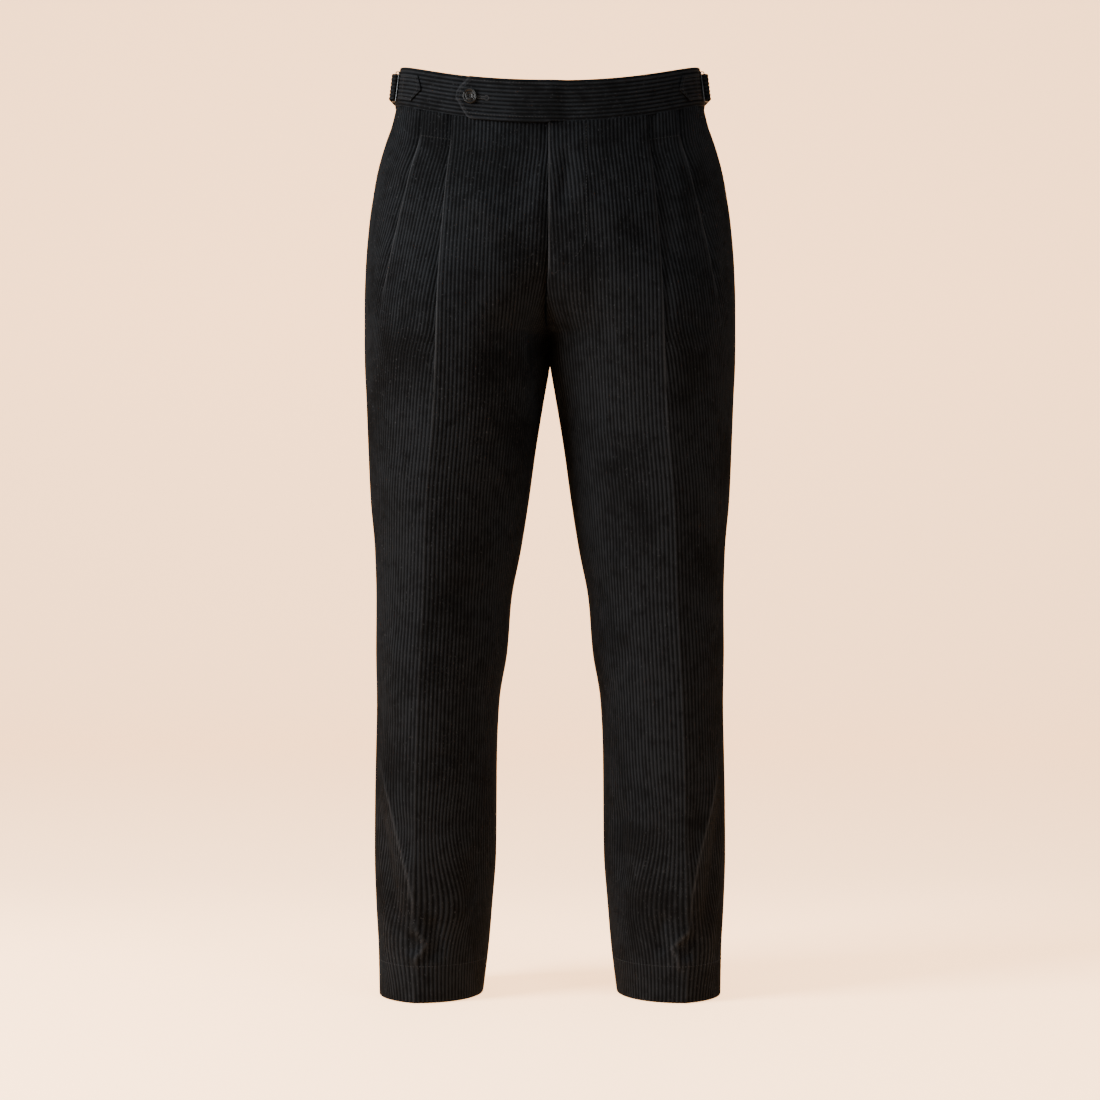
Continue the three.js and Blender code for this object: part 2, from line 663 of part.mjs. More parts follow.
const FACING_HEIGHTS = PANEL_HEIGHTS.filter((height) => height > BAND_BOTTOM - MOUTH_LENGTH);
const SIDES = { left: 1, right: -1 };
for (const [name, side] of Object.entries(SIDES)) {
  const front = PANEL_HEIGHTS.map((height) => frontRow(side, height));
  const back = PANEL_HEIGHTS.map((height) => backRow(side, height));
  const facing = FACING_HEIGHTS.map((height) => facingRow(side, height));
  addPiece(`front_${name}`, panelGeometry(side, front, legThickness), clothMaterial);
  addPiece(`back_${name}`, panelGeometry(side, back, legThickness), clothMaterial);
  addPiece(`pocket_facing_${name}`, panelGeometry(side, facing, () => CLOTH), clothMaterial);
  addPiece(`waistband_${name}`, side > 0 ? leftBand() : rightBand(), clothMaterial);
  addPiece(`adjuster_tab_${name}`, adjusterTab(side), clothMaterial);
  addPiece(`adjuster_strap_${name}`, adjusterStrap(side), clothMaterial);
  addPiece(`adjuster_slide_${name}`, adjusterSlide(side), metalMaterial);
}

const button = buttonMesh(hornMaterial);
button.name = "waist_button";
group.add(button);

export default group;
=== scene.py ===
import bpy
import numpy as np
from mathutils import Matrix, Vector


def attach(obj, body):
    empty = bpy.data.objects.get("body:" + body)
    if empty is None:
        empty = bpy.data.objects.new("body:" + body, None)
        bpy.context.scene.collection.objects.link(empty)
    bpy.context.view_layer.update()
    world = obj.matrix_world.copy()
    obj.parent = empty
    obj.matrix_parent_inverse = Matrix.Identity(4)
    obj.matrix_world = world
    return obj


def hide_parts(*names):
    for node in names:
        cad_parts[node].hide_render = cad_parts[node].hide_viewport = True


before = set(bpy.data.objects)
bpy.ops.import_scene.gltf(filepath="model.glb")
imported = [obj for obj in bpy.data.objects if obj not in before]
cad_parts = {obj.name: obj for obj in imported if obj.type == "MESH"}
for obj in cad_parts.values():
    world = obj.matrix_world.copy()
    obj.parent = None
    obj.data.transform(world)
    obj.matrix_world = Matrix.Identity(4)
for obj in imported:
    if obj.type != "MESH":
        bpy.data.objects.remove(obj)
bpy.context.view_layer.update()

# The cut of the legs. Each leg is a tube of cloth: these levels give its form from the hem up, in
# millimetres above the hem, as the pattern maker's girths do. The wearer's left is at +X.
# outer, inner: widest and innermost x. front, back: depth. front_x, back_x: x of the foremost and
# rearmost point. outer_y, inner_y: y of the widest and innermost point. square: roundness.
# dip: how far the front hangs lower. peak: height of the pressed crease.
LEVEL_NAMES = ("height", "outer", "inner", "front", "back", "front_x", "back_x", "outer_y", "inner_y",
               "square", "dip", "peak")
LEVELS = (
    (1012, 165.0, -150, 119, 118, 0, 0, 0, 0, 2.25, 32, 0),
    (970, 170.5, -150, 124, 122, 0, 0, 0, 0, 2.25, 34, 0),
    (941, 178.0, -150, 130, 127, 0, 2, 0, 0, 2.28, 30, 0),
    (892, 189.8, -150, 137, 138, 8, 15, 0, 0, 2.32, 18, 0),
    (840, 198.2, -130, 141, 146, 25, 45, 2, 0, 2.35, 8, 0.5),
    (790, 202.0, -85, 141, 148, 55, 80, 1, 0, 2.33, 2, 1.5),
    (751, 203.0, -40, 139, 144, 85, 95, 0, -2, 2.3, 0, 2.5),
    (724, 203.0, -9, 136, 138, 98, 100, 0, -4, 2.28, 0, 3.2),
    (716, 203.0, -3.0, 135, 136, 100, 100, -1, -4, 2.26, 0, 3.5),
    (688, 202.6, 0.1, 131, 131, 104, 100, -3, -5, 2.22, 0, 4),
    (650, 200.8, 6.6, 125, 121, 107, 98, -6, -6, 2.16, 0, 4.8),
    (595, 198.5, 15.5, 118, 109, 112, 98, -10, -6, 2.1, 0, 5.5),
    (540, 195.8, 23.1, 111, 99, 116, 98, -14, -6, 2.05, 0, 6),
    (485, 190.9, 31.9, 105, 91, 118, 102, -17, -5, 2.0, 0, 6.5),
    (430, 189.2, 42.4, 99, 84, 122, 106, -20, -5, 2.0, 0, 7),
    (375, 189.5, 46.8, 95, 79, 125, 108, -20, -4, 2.0, 0, 7),
    (320, 188.7, 55.6, 91, 76, 128, 112, -18, -3, 2.0, 0, 7),
    (265, 189.8, 58.3, 87, 74, 130, 116, -16, -1, 2.0, 0, 7),
    (210, 190.9, 58.9, 83, 73, 131, 118, -14, 0, 2.0, 0, 7),
    (155, 191.4, 59.4, 80, 72, 132, 120, -12, 1, 2.0, 0, 6.5),
    (100, 189.8, 63.3, 77.5, 71, 133, 122, -11, 2, 2.0, 0, 6),
    (50, 187.2, 67.6, 75, 69, 134, 124, -10, 3, 2.0, 0, 6),
    (0, 186.2, 73.7, 73, 67, 134, 126, -10, 3, 2.0, 0, 6),
)
# crease_x: x of the first pleat's fold, which runs on as the crease. second: the second pleat's
# place from that fold (0) to the outseam (1). depth1, depth2: how far each pleat is folded under.
PLEAT_NAMES = ("height", "crease_x", "second", "depth1", "depth2")
PLEATS = (
    (1012, 102, 0.225, 18, 15),
    (970, 104, 0.23, 18, 15),
    (941, 105.1, 0.232, 18, 15),
    (892, 109.5, 0.262, 15, 12),
    (840, 113, 0.295, 11.5, 8),
    (790, 116, 0.335, 8, 4.5),
    (751, 117.6, 0.37, 5.5, 1.5),
    (716, 118.6, 0.39, 4, 0),
    (688, 119.6, 0.4, 1.5, 0),
    (622, 122.7, 0.4, 0, 0),
    (538, 129.6, 0.4, 0, 0),
    (432, 133.4, 0.4, 0, 0),
    (325, 139, 0.4, 0, 0),
    (218, 142.6, 0.4, 0, 0),
    (110, 145, 0.4, 0, 0),
    (0, 144, 0.4, 0, 0),
)
ORIGIN_HEIGHT = 980
BAND_BOTTOM, BAND_TOP = 970, 1012
CROTCH = 716
CLOTH = 1.5
HEM_DEPTH, HEM_CLOTH = 41, 2.6
OUTSEAM_BACK = 30
CREASE_REACH = 24
# Heights over which the back crease fades out and its painted highlight fades, the pleats open and are
# sewn shut (setting how strong the painted highlight on the front crease is), the painted highlight on
# the outer pleat's fold edge ends, and the painted highlight along the fly's lap starts.
BACK_CREASE_FADE, BACK_HIGHLIGHT_FADE = (560, 760), (560, 700)
PLEATS_OPEN, PLEATS_SHUT, EDGE_SHUT, LAP_HIGHLIGHT = (560, 760), (925, 950), (930, 950), (760, 790)
SECTION_STEPS = 90
MIDDLE = 0.05


def table_curve(names, rows, name):
    """A smooth curve through one column of a table, which never swings past its rows."""
    table = np.array(sorted(rows), float)
    x, v = table[:, 0], table[:, names.index(name)]
    run = np.diff(x)
    rate = np.diff(v) / run
    slope = np.zeros(len(x))
    slope[0], slope[-1] = rate[0], rate[-1]
    for i in range(1, len(x) - 1):
        if rate[i - 1] * rate[i] > 0:
            before = 2 * run[i] + run[i - 1]
            after = run[i] + 2 * run[i - 1]
            slope[i] = (before + after) / (before / rate[i - 1] + after / rate[i])

    def curve(height):
        at = min(max(height, x[0]), x[-1])
        i = min(int(np.searchsorted(x, at, "right")) - 1, len(x) - 2)
        t = (at - x[i]) / run[i]
        start = v[i] * (1 + 2 * t) * (1 - t) ** 2 + slope[i] * run[i] * t * (1 - t) ** 2
        end = v[i + 1] * t * t * (3 - 2 * t) - slope[i + 1] * run[i] * t * t * (1 - t)
        return start + end

    return curve


level = {name: table_curve(LEVEL_NAMES, LEVELS, name) for name in LEVEL_NAMES[1:]}
pleat = {name: table_curve(PLEAT_NAMES, PLEATS, name) for name in PLEAT_NAMES[1:]}


def smoothstep(value, low, high):
    t = np.clip((np.asarray(value, float) - low) / (high - low), 0, 1)
    return t * t * (3 - 2 * t)


def quarter(start, end, corner_first, square):
    turn = np.linspace(0, np.pi / 2, SECTION_STEPS, endpoint=False)
    near = np.cos(turn) ** (2 / square)
    far = np.sin(turn) ** (2 / square)
    share = np.stack([far, 1 - near] if corner_first else [1 - near, far], axis=1)
    return np.array(start) + (np.array(end) - np.array(start)) * share


class Ring:
    """One level of a leg: its section from inseam or centre front round the outside to the back."""

    known = {}

    def __init__(self, height):
        size = {name: curve(height) for name, curve in level.items()}
        inmost = (size["inner"], size["inner_y"])
        foremost = (size["front_x"], -size["front"])
        outmost = (size["outer"], size["outer_y"])
        rearmost = (size["back_x"], size["back"])
        square = size["square"]
        whole = np.concatenate([
            quarter(inmost, foremost, False, square),
            quarter(foremost, outmost, True, square),
            quarter(outmost, rearmost, False, square),
            quarter(rearmost, inmost, True, square),
            [inmost],
        ])
        beyond = whole[:, 0] < MIDDLE
        at = np.flatnonzero(beyond[1:] != beyond[:-1])
        share = (MIDDLE - whole[at, 0]) / (whole[at + 1, 0] - whole[at, 0])
        meeting = whole[at] + (whole[at + 1] - whole[at]) * share[:, None]
        whole = np.insert(whole, at + 1, meeting, axis=0)
        self.path = whole[whole[:, 0] >= MIDDLE - 1e-9]
        steps = np.diff(self.path, axis=0)
        lengths = np.maximum(np.hypot(*steps.T), 1e-9)
        self.reach = np.concatenate([[0], np.cumsum(lengths)])
        ways = steps / lengths[:, None]
        ways = np.concatenate([ways[:1], ways[:-1] + ways[1:], ways[-1:]])
        self.ways = ways / np.hypot(*ways.T)[:, None]
        self.height, self.size, self.total = height, size, self.reach[-1]
        x, y = self.path.T
        self.crease = self.crossing(x - pleat["crease_x"](height))
        behind = np.where(x > size["back_x"], y - size["outer_y"] - OUTSEAM_BACK, -1)
        self.outseam = self.crossing(behind)
        middle_x = (size["outer"] + max(size["inner"], 0)) / 2
        back_x = middle_x - 0.8 * (pleat["crease_x"](height) - middle_x)
        self.back_crease = self.crossing(np.where(y > 0, back_x - x, -1))
        self.second = self.crease + (self.outseam - self.crease) * pleat["second"](height)

    def crossing(self, test):
        at = np.flatnonzero((test[:-1] < 0) & (test[1:] >= 0))
        if not len(at):
            return self.total
        i = at[0]
        return self.reach[i] + (self.reach[i + 1] - self.reach[i]) * test[i] / (test[i] - test[i + 1])

    @classmethod
    def at(cls, height):
        if height not in cls.known:
            cls.known[height] = cls(height)
        return cls.known[height]

    def creases(self, distance):
        peak = self.size["peak"]
        fade = 1 - smoothstep(self.height, *BACK_CREASE_FADE)
        front = np.exp(-np.abs(distance - self.crease) / CREASE_REACH)
        back = np.exp(-np.abs(distance - self.back_crease) / CREASE_REACH)
        return peak * front + peak * fade * back

    def points(self, side, distance, depth):
        """Points of the cloth at distances along the section, and depths outward from its face."""
        distance = np.asarray(distance, float)
        inside = np.clip(distance, 0, self.total)
        x, y = (np.interp(inside, self.reach, self.path[:, k]) for k in (0, 1))
        way_x, way_y = (np.interp(inside, self.reach, self.ways[:, k]) for k in (0, 1))
        past = distance - inside
        x, y = x + way_x * past, y + way_y * past
        out = depth + self.creases(distance)
        size = self.size
        lower = size["dip"] * np.where(y < 0, (y / size["front"]) ** 2, -0.15 * (y / size["back"]) ** 2)
        points = np.stack([side * (x + way_y * out), y - way_x * out, self.height - lower], axis=1)
        points[:, 2] -= ORIGIN_HEIGHT
        return points


# Corduroy: black cotton with raised cords of cut pile, the wales. They run along each panel's own
# grain, so a piece is laid out by its flat coordinates and every wale is raised in the mesh itself.
WALE = 4.2
WALE_SAMPLES = 4
WALE_CREST, WALE_GROOVE = 0.24, -0.56
EDGE_REACH = 1.3
MILLI = 0.001


class Socket:
    """A shader value that can be used in ordinary sums."""

    def __init__(self, paint, output):
        self.paint, self.output = paint, output

    def maths(self, operation, other=None, swap=False):
        values = [self] if other is None else [other, self] if swap else [self, other]
        return self.paint.node("ShaderNodeMath", {"operation": operation}, dict(enumerate(values)))

    def __add__(self, other):
        return self.maths("ADD", other)

    def __sub__(self, other):
        return self.maths("SUBTRACT", other)

    def __rsub__(self, other):
        return self.maths("SUBTRACT", other, swap=True)

    def __mul__(self, other):
        return self.maths("MULTIPLY", other)

    def __pow__(self, other):
        return self.maths("POWER", other)

    __radd__ = __add__
    __rmul__ = __mul__


class Paint:
    """One material with its nodes."""

    def __init__(self, name):
        self.material = bpy.data.materials.new(name)
        self.material.use_nodes = True
        self.tree = self.material.node_tree
        self.shader = self.tree.nodes["Principled BSDF"]
        self.place = self.node("ShaderNodeTexCoord", output=3)

    def node(self, kind, settings=None, inputs=None, output=0):
        made = self.tree.nodes.new(kind)
        for name, value in (settings or {}).items():
            setattr(made, name, value)
        for name, value in (inputs or {}).items():
            self.feed(made, name, value)
        return Socket(self, made.outputs[output])

    def feed(self, made, name, value):
        if isinstance(value, Socket):
            self.tree.links.new(value.output, made.inputs[name])
        else:
            made.inputs[name].default_value = value

    def noise(self, scale, detail=3.0):
        inputs = {"Vector": self.place, "Scale": scale, "Detail": detail}
        return self.node("ShaderNodeTexNoise", inputs=inputs)

    def attribute(self, name):
        return self.node("ShaderNodeAttribute", {"attribute_name": name}, output=2)

    def mix(self, factor, low, high):
        settings = {"data_type": "RGBA"}
        return self.node("ShaderNodeMix", settings, {"Factor": factor, "A": low, "B": high}, output=2)

    def bump(self, height, strength, distance):
        inputs = {"Height": height, "Strength": strength, "Distance": distance}
        return self.node("ShaderNodeBump", inputs=inputs)

    def finish(self, values):
        for name, value in values.items():
            self.feed(self.shader, name, value)
        return self.material


def corduroy(name, crest, groove, worn):
    """Black cotton corduroy: matt grooves and napped crests, with painted shade in the grooves, painted
    sheen on the crests, and a painted highlight along pressed edges and fold ridges.
    """
    paint = Paint(name)
    cloth = paint.node("ShaderNodeUVMap", {"uv_map": "cut"})
    across = paint.node("ShaderNodeSeparateXYZ", inputs={"Vector": cloth})
    wave = (across * (2 * np.pi)).maths("COSINE")
    crown = ((wave * 0.5 + 0.5) ** 1.2) * paint.attribute("pile")
    pile = paint.noise(2600.0)
    patches = ((paint.noise(13.0, 3.0) - 0.5) * 3.6 + 1.0).maths("MAXIMUM", 0.25)
    flecks = ((paint.noise(95.0, 4.0) - 0.5) * 3.0 + 1.0).maths("MAXIMUM", 0.2)
    rubbed = patches * flecks * 1.05
    # The grooves are painted darker as shade and the crests paler as sheen, on top of the raised wales.
    shade = (crown * 0.92 + 0.08) * (0.4 + 1.2 * pile) * rubbed
    height = crown * 0.5 + pile * 0.35 + paint.noise(420.0, 2.0) * 0.25
    lint = ((paint.noise(560.0, 2.0) - 0.64) * 10.0).maths("MAXIMUM", 0.0)
    # Painted highlight lines from the point attribute, with real lint specks added to them.
    highlight_and_lint = paint.attribute("worn") + lint * 0.6
    return paint.finish({
        "Base Color": paint.mix(highlight_and_lint * (0.4 + 1.1 * pile), paint.mix(shade, groove, crest), worn),
        "Roughness": 0.97 - 0.22 * crown - 0.12 * paint.attribute("worn"),
        "Normal": paint.bump(height, 0.55, 0.0004),
        "Specular IOR Level": 0.03,
    })


# Wale colours: the crests painted paler as sheen, the grooves darker as shade; the last colour is the
# painted highlight along edges and ridges.
CREST = (0.0035, 0.0041, 0.0049, 1)
GROOVE = (0.0004, 0.00045, 0.00055, 1)
PAINTED_HIGHLIGHT = (0.0140, 0.0150, 0.0165, 1)
cord = corduroy("corduroy_black", CREST, GROOVE, PAINTED_HIGHLIGHT)


def bell(offset, width):
    return np.exp(-((offset / width) ** 2))


def add(name, data):
    """Puts an object with these data in the scene."""
    made = bpy.data.objects.new(name, data)
    bpy.context.collection.objects.link(made)
    return made


def select_only(piece):
    bpy.ops.object.select_all(action="DESELECT")
    piece.select_set(True)
    bpy.context.view_layer.objects.active = piece


def smooth(piece, degrees):
    select_only(piece)
    bpy.ops.object.shade_smooth_by_angle(angle=np.radians(degrees))


class Station:
    """One line across a piece of cloth: its ends in flat coordinates, and where it lies in space."""

    def __init__(self, low, high, along, place, worn=None, rim=EDGE_REACH):
        self.low, self.high, self.along, self.place = low, high, along, place
        self.worn, self.rim = worn, rim


STEP = WALE / WALE_SAMPLES
FEEL = 0.3


def wale_rise(column):
    crown = np.cos(np.pi * column / WALE_SAMPLES) ** 2
    return WALE_GROOVE + (WALE_CREST - WALE_GROOVE) * crown ** 0.75


def weave(node, stations, thickness, outward, tucks=(0.5, 0.5), ends=(0.0, 0.0), both=False):
    """Makes the corduroy of one node as a closed shell over its stations, with every wale raised."""
    name = f"{node}_cloth"
    lowest = int(np.floor(min(s.low for s in stations) / STEP))
    highest = int(np.ceil(max(s.high for s in stations) / STEP))
    columns = np.arange(lowest, highest + 1)
    shape = wale_rise(columns)
    middle, ways, flat, rise, worn, starts, finishes = [], [], [], [], [], [], []
    for s in stations:
        at = np.clip(columns * STEP, s.low, s.high)
        middle.append(s.place(at))
        ways.append(s.place(at + FEEL) - s.place(at - FEEL))
        flat.append(np.stack([at / WALE, np.full(len(at), s.along / WALE)], axis=1))
        low_edge, high_edge = bell(at - s.low, s.rim), bell(at - s.high, s.rim)
        flatter = 1 - np.minimum(low_edge + high_edge, 1)
        rise.append(shape * flatter - tucks[0] * low_edge - tucks[1] * high_edge)
        worn.append(s.worn(at) if s.worn else np.zeros(len(at)))
        starts.append(int(np.flatnonzero(columns * STEP <= s.low + 1e-6)[-1]))
        finishes.append(int(np.flatnonzero(columns * STEP >= s.high - 1e-6)[0]))
    middle, ways, flat, rise, worn = (np.array(v) for v in (middle, ways, flat, rise, worn))
    rise[0] -= ends[0]
    rise[-1] -= ends[1]
    along = np.gradient(middle, axis=0)
    normal = np.cross(ways, along) * outward
    normal /= np.maximum(np.linalg.norm(normal, axis=2), 1e-9)[..., None]
    thick = np.array([thickness(s.along) if callable(thickness) else thickness for s in stations])
    half = thick[:, None, None] / 2
    outer = middle + normal * (half + rise[..., None])
    inner = middle - normal * (half + (rise[..., None] if both else 0))
    count = len(stations) * len(columns)
    grid = np.arange(count).reshape(len(stations), len(columns))
    for i, (start, finish) in enumerate(zip(starts, finishes)):
        grid[i, :start] = grid[i, start]
        grid[i, finish:] = grid[i, finish]
    faces = []

    def face(*corners):
        corners = [int(c) for k, c in enumerate(corners) if c != corners[k - 1]]
        if len(corners) > 2 and len(set(corners)) == len(corners):
            faces.append(corners if outward > 0 else corners[::-1])

    for i in range(len(stations) - 1):
        for j in range(min(starts[i], starts[i + 1]), max(finishes[i], finishes[i + 1])):
            a, b, c, d = grid[i, j], grid[i, j + 1], grid[i + 1, j + 1], grid[i + 1, j]
            face(a, b, c, d)
            face(a + count, d + count, c + count, b + count)
        for j, way in ((0, 1), (-1, -1)):
            a, b = grid[i, j], grid[i + 1, j]
            face(*(a, b, b + count, a + count)[::way])
    for i, way in ((0, 1), (len(stations) - 1, -1)):
        for j in range(starts[i], finishes[i]):
            a, b = grid[i, j], grid[i, j + 1]
            face(*(a, a + count, b + count, b)[::way])
    points = np.concatenate([outer.reshape(-1, 3), inner.reshape(-1, 3)]) * MILLI
    used = np.unique(np.concatenate([np.array(f) for f in faces]))
    number = np.full(2 * count, -1)
    number[used] = np.arange(len(used))
    mesh = bpy.data.meshes.new(name)
    mesh.from_pydata(points[used].tolist(), [], [[int(number[c]) for c in f] for f in faces])
    layout = mesh.uv_layers.new(name="cut")
    spread = np.concatenate([flat.reshape(-1, 2)] * 2)[used]
    corner = np.zeros(len(mesh.loops), int)
    mesh.loops.foreach_get("vertex_index", corner)
    layout.data.foreach_set("uv", spread[corner].ravel())
    back = 1.0 if both else 0.0
    looks = {
        "worn": np.concatenate([worn.ravel(), np.zeros(count)]),
        "pile": np.concatenate([np.ones(count), np.full(count, back)]),
    }
    for look, values in looks.items():
        mesh.attributes.new(look, "FLOAT", "POINT").data.foreach_set("value", values[used])
    piece = add(name, mesh)
    mesh.materials.append(cord)
    smooth(piece, 72)
    widths = np.array([s.high - s.low for s in stations]) * MILLI
    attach(piece, "root")
    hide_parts(node)


# Front leg panels: cut of corduroy with two reverse pleats each, sewn down below the waistband, then
# opening into the pressed crease. The wearer's left front laps over the right one at the fly.
FLY_BOTTOM, FLY_SEAM_TOP, FLY_LEVEL = 808, 776, 750
FLY_OVERLAP, FLY_UNDERLAP, FLY_STEP = 1.2, 8, 2.7
MOUTH_TOP, MOUTH_LENGTH, MOUTH_LIFT, MOUTH_RISE = 82, 168, 0.9, (800, 850)
PLEAT_RADIUS, PLEAT_RAMP, PLEAT_LEAST = 1.05, 14, 6
SEAM = 0.05
# Where the inseams part, and how far the fronts lean together there.
NOTCH, LEAN = 690, 1.3
# The wales keep still over this distance from a panel's edges.
STILL = 24
# The soft folds of each front, as the stiff cloth breaks over the hem. Each follows a line of places,
# in pairs: distance from the pressed crease, + to the outseam, and height. inner, outer: its width on
# the side of the crease and of the outseam. rise: + stands out, - sinks in. sharp: 1 for a crisp
# ridge. shine: a painted highlight along the ridge. The last two are 0 where they are left out.
# How wide the painted highlight is along a fold, and along a pressed edge.
RIDGE_HIGHLIGHT_WIDTH, CREASE_HIGHLIGHT_WIDTH = 1.1, 1.3
FOLD_NAMES = ("line", "inner", "outer", "rise", "sharp", "shine")
FRONT_FOLDS = {-1: (
    ((60, 268, 44, 240, 30, 212, 17, 171, 4, 132, 0, 108, 0, 78), 15, 11, 3.4, 1, 0.8),
    ((62, 226, 40, 168, 25, 112, 17, 60), 13, 15, -4.2),
    ((11, 208, 5, 150), 9, 10, -1.6),
    ((0, 92, -2, 80, -7, 71, -12, 63, -7, 55, -2, 50, 0, 36), 4, 4, 3.4, 1, 0.7),
    ((4, 78, -3, 63, 3, 50), 4.5, 7, -4.2),
    ((-16, 96, -24, 64, -18, 44), 8, 8, -4.2),
    ((-34, 196, -52, 128, -40, 70), 17, 17, 2.6),
    ((-70, 168, -66, 96), 14, 14, -2.2),
    ((-9, 262, -42, 266), 4, 4, -1.0),
    ((-20, 452, -72, 420), 16, 16, -1.6),
    ((26, 404, 30, 300), 16, 18, 1.8),
    ((-28, 880, -52, 846, -78, 806), 13, 15, 2.4),
    ((-66, 900, -92, 852), 12, 12, -1.8),
    ((-22, 760, -30, 690, -26, 620), 16, 14, 1.6),
    ((-66, 742, -58, 672), 12, 14, -2.0),
    ((36, 700, 30, 560), 16, 18, -1.4),
    ((-30, 560, -52, 552), 4, 4, -0.8),
    ((11, 968, 13, 900, 12, 830, 6, 760), 7, 12, -2.6),
    ((-104, 806, -112, 756, -124, 724, -134, 700, -144, 664, -150, 620), 24, 22, -6.5),
    ((-60, 800, -50, 700, -66, 600), 18, 20, 2.6),
    ((-96, 946, -88, 880), 10, 12, -1.8),
    ((58, 900, 74, 806), 9, 13, -2.4),
    ((-88, 560, -78, 500), 16, 18, -2.2),
    ((-16, 930, -58, 922, -84, 927), 4, 6, -0.7),
    ((-22, 884, -66, 892), 4, 5, 0.6),
    ((-38, 862, -92, 852), 5, 6, -0.8),
    ((-8, 826, -44, 818), 4, 5, -0.6),
    ((16, 742, 52, 722), 6, 8, -1.2),
    ((-36, 604, -84, 590), 6, 8, -1.0),
    ((-12, 498, -34, 506), 4, 4, -0.8),
    ((-14, 640, -30, 652), 4, 4, -0.8),
), 1: (
    ((56, 272, 40, 228, 24, 186, 12, 150, 5, 116, 3, 84, 2, 70), 14, 11, 3.2, 1, 0.8),
    ((62, 232, 44, 172, 30, 112, 22, 56), 13, 15, -4.0),
    ((12, 214, 6, 148), 8, 10, -1.4),
    ((3, 90, 2, 78, -6, 69, -14, 60, -10, 50, -7, 40, -5, 30), 4, 4, 3.4, 1, 0.7),
    ((10, 76, -1, 60, 2, 44), 5, 8, -4.2),
    ((-18, 100, -27, 74, -21, 48), 9, 7, -3.6),
    ((-30, 236, -48, 170, -44, 96), 18, 16, 2.4),
    ((-78, 220, -74, 120), 12, 12, -2.6),
    ((-40, 339, -22, 348, -4, 344), 4, 4, -1.3),
    ((-44, 358, -70, 384), 16, 18, -1.8),
    ((-26, 536, -8, 540), 4, 4, 0.9),
    ((11, 968, 13, 900, 12, 830, 6, 760), 7, 12, -2.6),
    ((-104, 806, -112, 756, -124, 724, -134, 700, -144, 664, -150, 620), 24, 24, 5),
    ((-70, 560, -62, 470), 14, 16, -2.0),
    ((58, 900, 74, 806), 9, 13, -2.4),
    ((-76, 800, -62, 700, -50, 640), 12, 14, -1.8),
    ((-14, 936, -56, 944), 4, 5, -0.6),
    ((-20, 902, -62, 894), 4, 6, 0.6),
    ((-112, 778, -100, 784, -88, 796), 2.5, 3.5, -1.6),
    ((-12, 858, -58, 868), 5, 6, -0.8),
    ((18, 730, 56, 712), 6, 8, -1.2),
    ((-30, 584, -80, 600), 6, 8, -1.0),
    ((-38, 512, -20, 500), 4, 4, 0.9),
    ((20, 420, 26, 320), 16, 18, 1.4),
    ((-90, 944, -93, 905, -102, 852), 7, 7, -3.4),
    ((-78, 900, -80, 852), 7, 7, 2.0, 0, 0.25),
    ((-60, 880, -48, 830, -40, 780), 14, 14, 1.6),
    ((-34, 740, -44, 660), 15, 15, 1.6),
    ((-86, 700, -70, 610), 13, 13, -2.0),
    ((38, 690, 30, 560), 16, 18, -1.4),
    ((-16, 618, -34, 610), 4, 4, -0.8),
    ((-30, 470, -52, 478), 4, 4, -0.8),
    ((-12, 404, -30, 398), 4, 4, -0.8),
)}
# How the wales waver in the cloth's own plane there, as pairs of place, reach and shift.
DRIFT_NAMES = ("across", "height", "wide", "tall", "shift")
FRONT_DRIFTS = {
    -1: (
        (-42, 104, 30, 40, -12.5), (-52, 190, 34, 40, 5.0),
        (32, 68, 26, 42, 17.0), (36, 178, 28, 40, -8.0),
    ),
    1: (
        (-44, 100, 32, 44, -12.0), (-50, 196, 34, 42, 5.0),
        (34, 60, 26, 40, 14.0), (32, 180, 28, 40, -7.0),
    ),
}


def fold_rise(folds, across, height, column="rise"):
    """How far the folds of a panel stand out, or how much painted highlight lies along their ridges, at
    one height.
    """
    total = np.zeros(len(across))
    for fold in folds:
        own = dict(zip(FOLD_NAMES, fold + (0, 0)))
        line = np.array(own["line"], float).reshape(-1, 2)
        runs = np.diff(line, axis=0)
        lengths = np.hypot(*runs.T)
        before = np.concatenate([[0], np.cumsum(lengths)])
        offset = np.stack([across[:, None] - line[:-1, 0], height - line[:-1, 1] + 0 * across[:, None]])
        share = np.clip((offset[0] * runs[:, 0] + offset[1] * runs[:, 1]) / lengths**2, 0, 1)
        away = np.hypot(offset[0] - share * runs[:, 0], offset[1] - share * runs[:, 1])
        side = np.sign(offset[0] * runs[:, 1] - offset[1] * runs[:, 0])
        side *= np.sign(line[0, 1] - line[-1, 1])
        nearest = np.argmin(away, axis=1)
        rows = np.arange(len(across))
        away, side = away[rows, nearest], side[rows, nearest]
        along = (before[nearest] + share[rows, nearest] * lengths[nearest]) / before[-1]
        fade = smoothstep(along, -0.02, 0.3) * (1 - smoothstep(along, 0.75, 1.02))
        width = np.where(side < 0, own["outer"], own["inner"])
        if column == "shine":
            total += own["shine"] * fade * bell(away, RIDGE_HIGHLIGHT_WIDTH)
        elif own["sharp"]:
            total += own["rise"] * fade * np.exp(-away / width)
        else:
            total += own["rise"] * fade * bell(away, width)
    return total


def drift(drifts, across, height):
    total = np.zeros(len(across))
    for own in (dict(zip(DRIFT_NAMES, row)) for row in drifts):
        aside = (across - own["across"]) / own["wide"]
        above = (height - own["height"]) / own["tall"]
        total += own["shift"] * np.exp(-(aside**2 + above**2))
    return total


def off_edges(at, low, high):
    return smoothstep(at, low, low + STILL) * (1 - smoothstep(at, high - STILL, high))


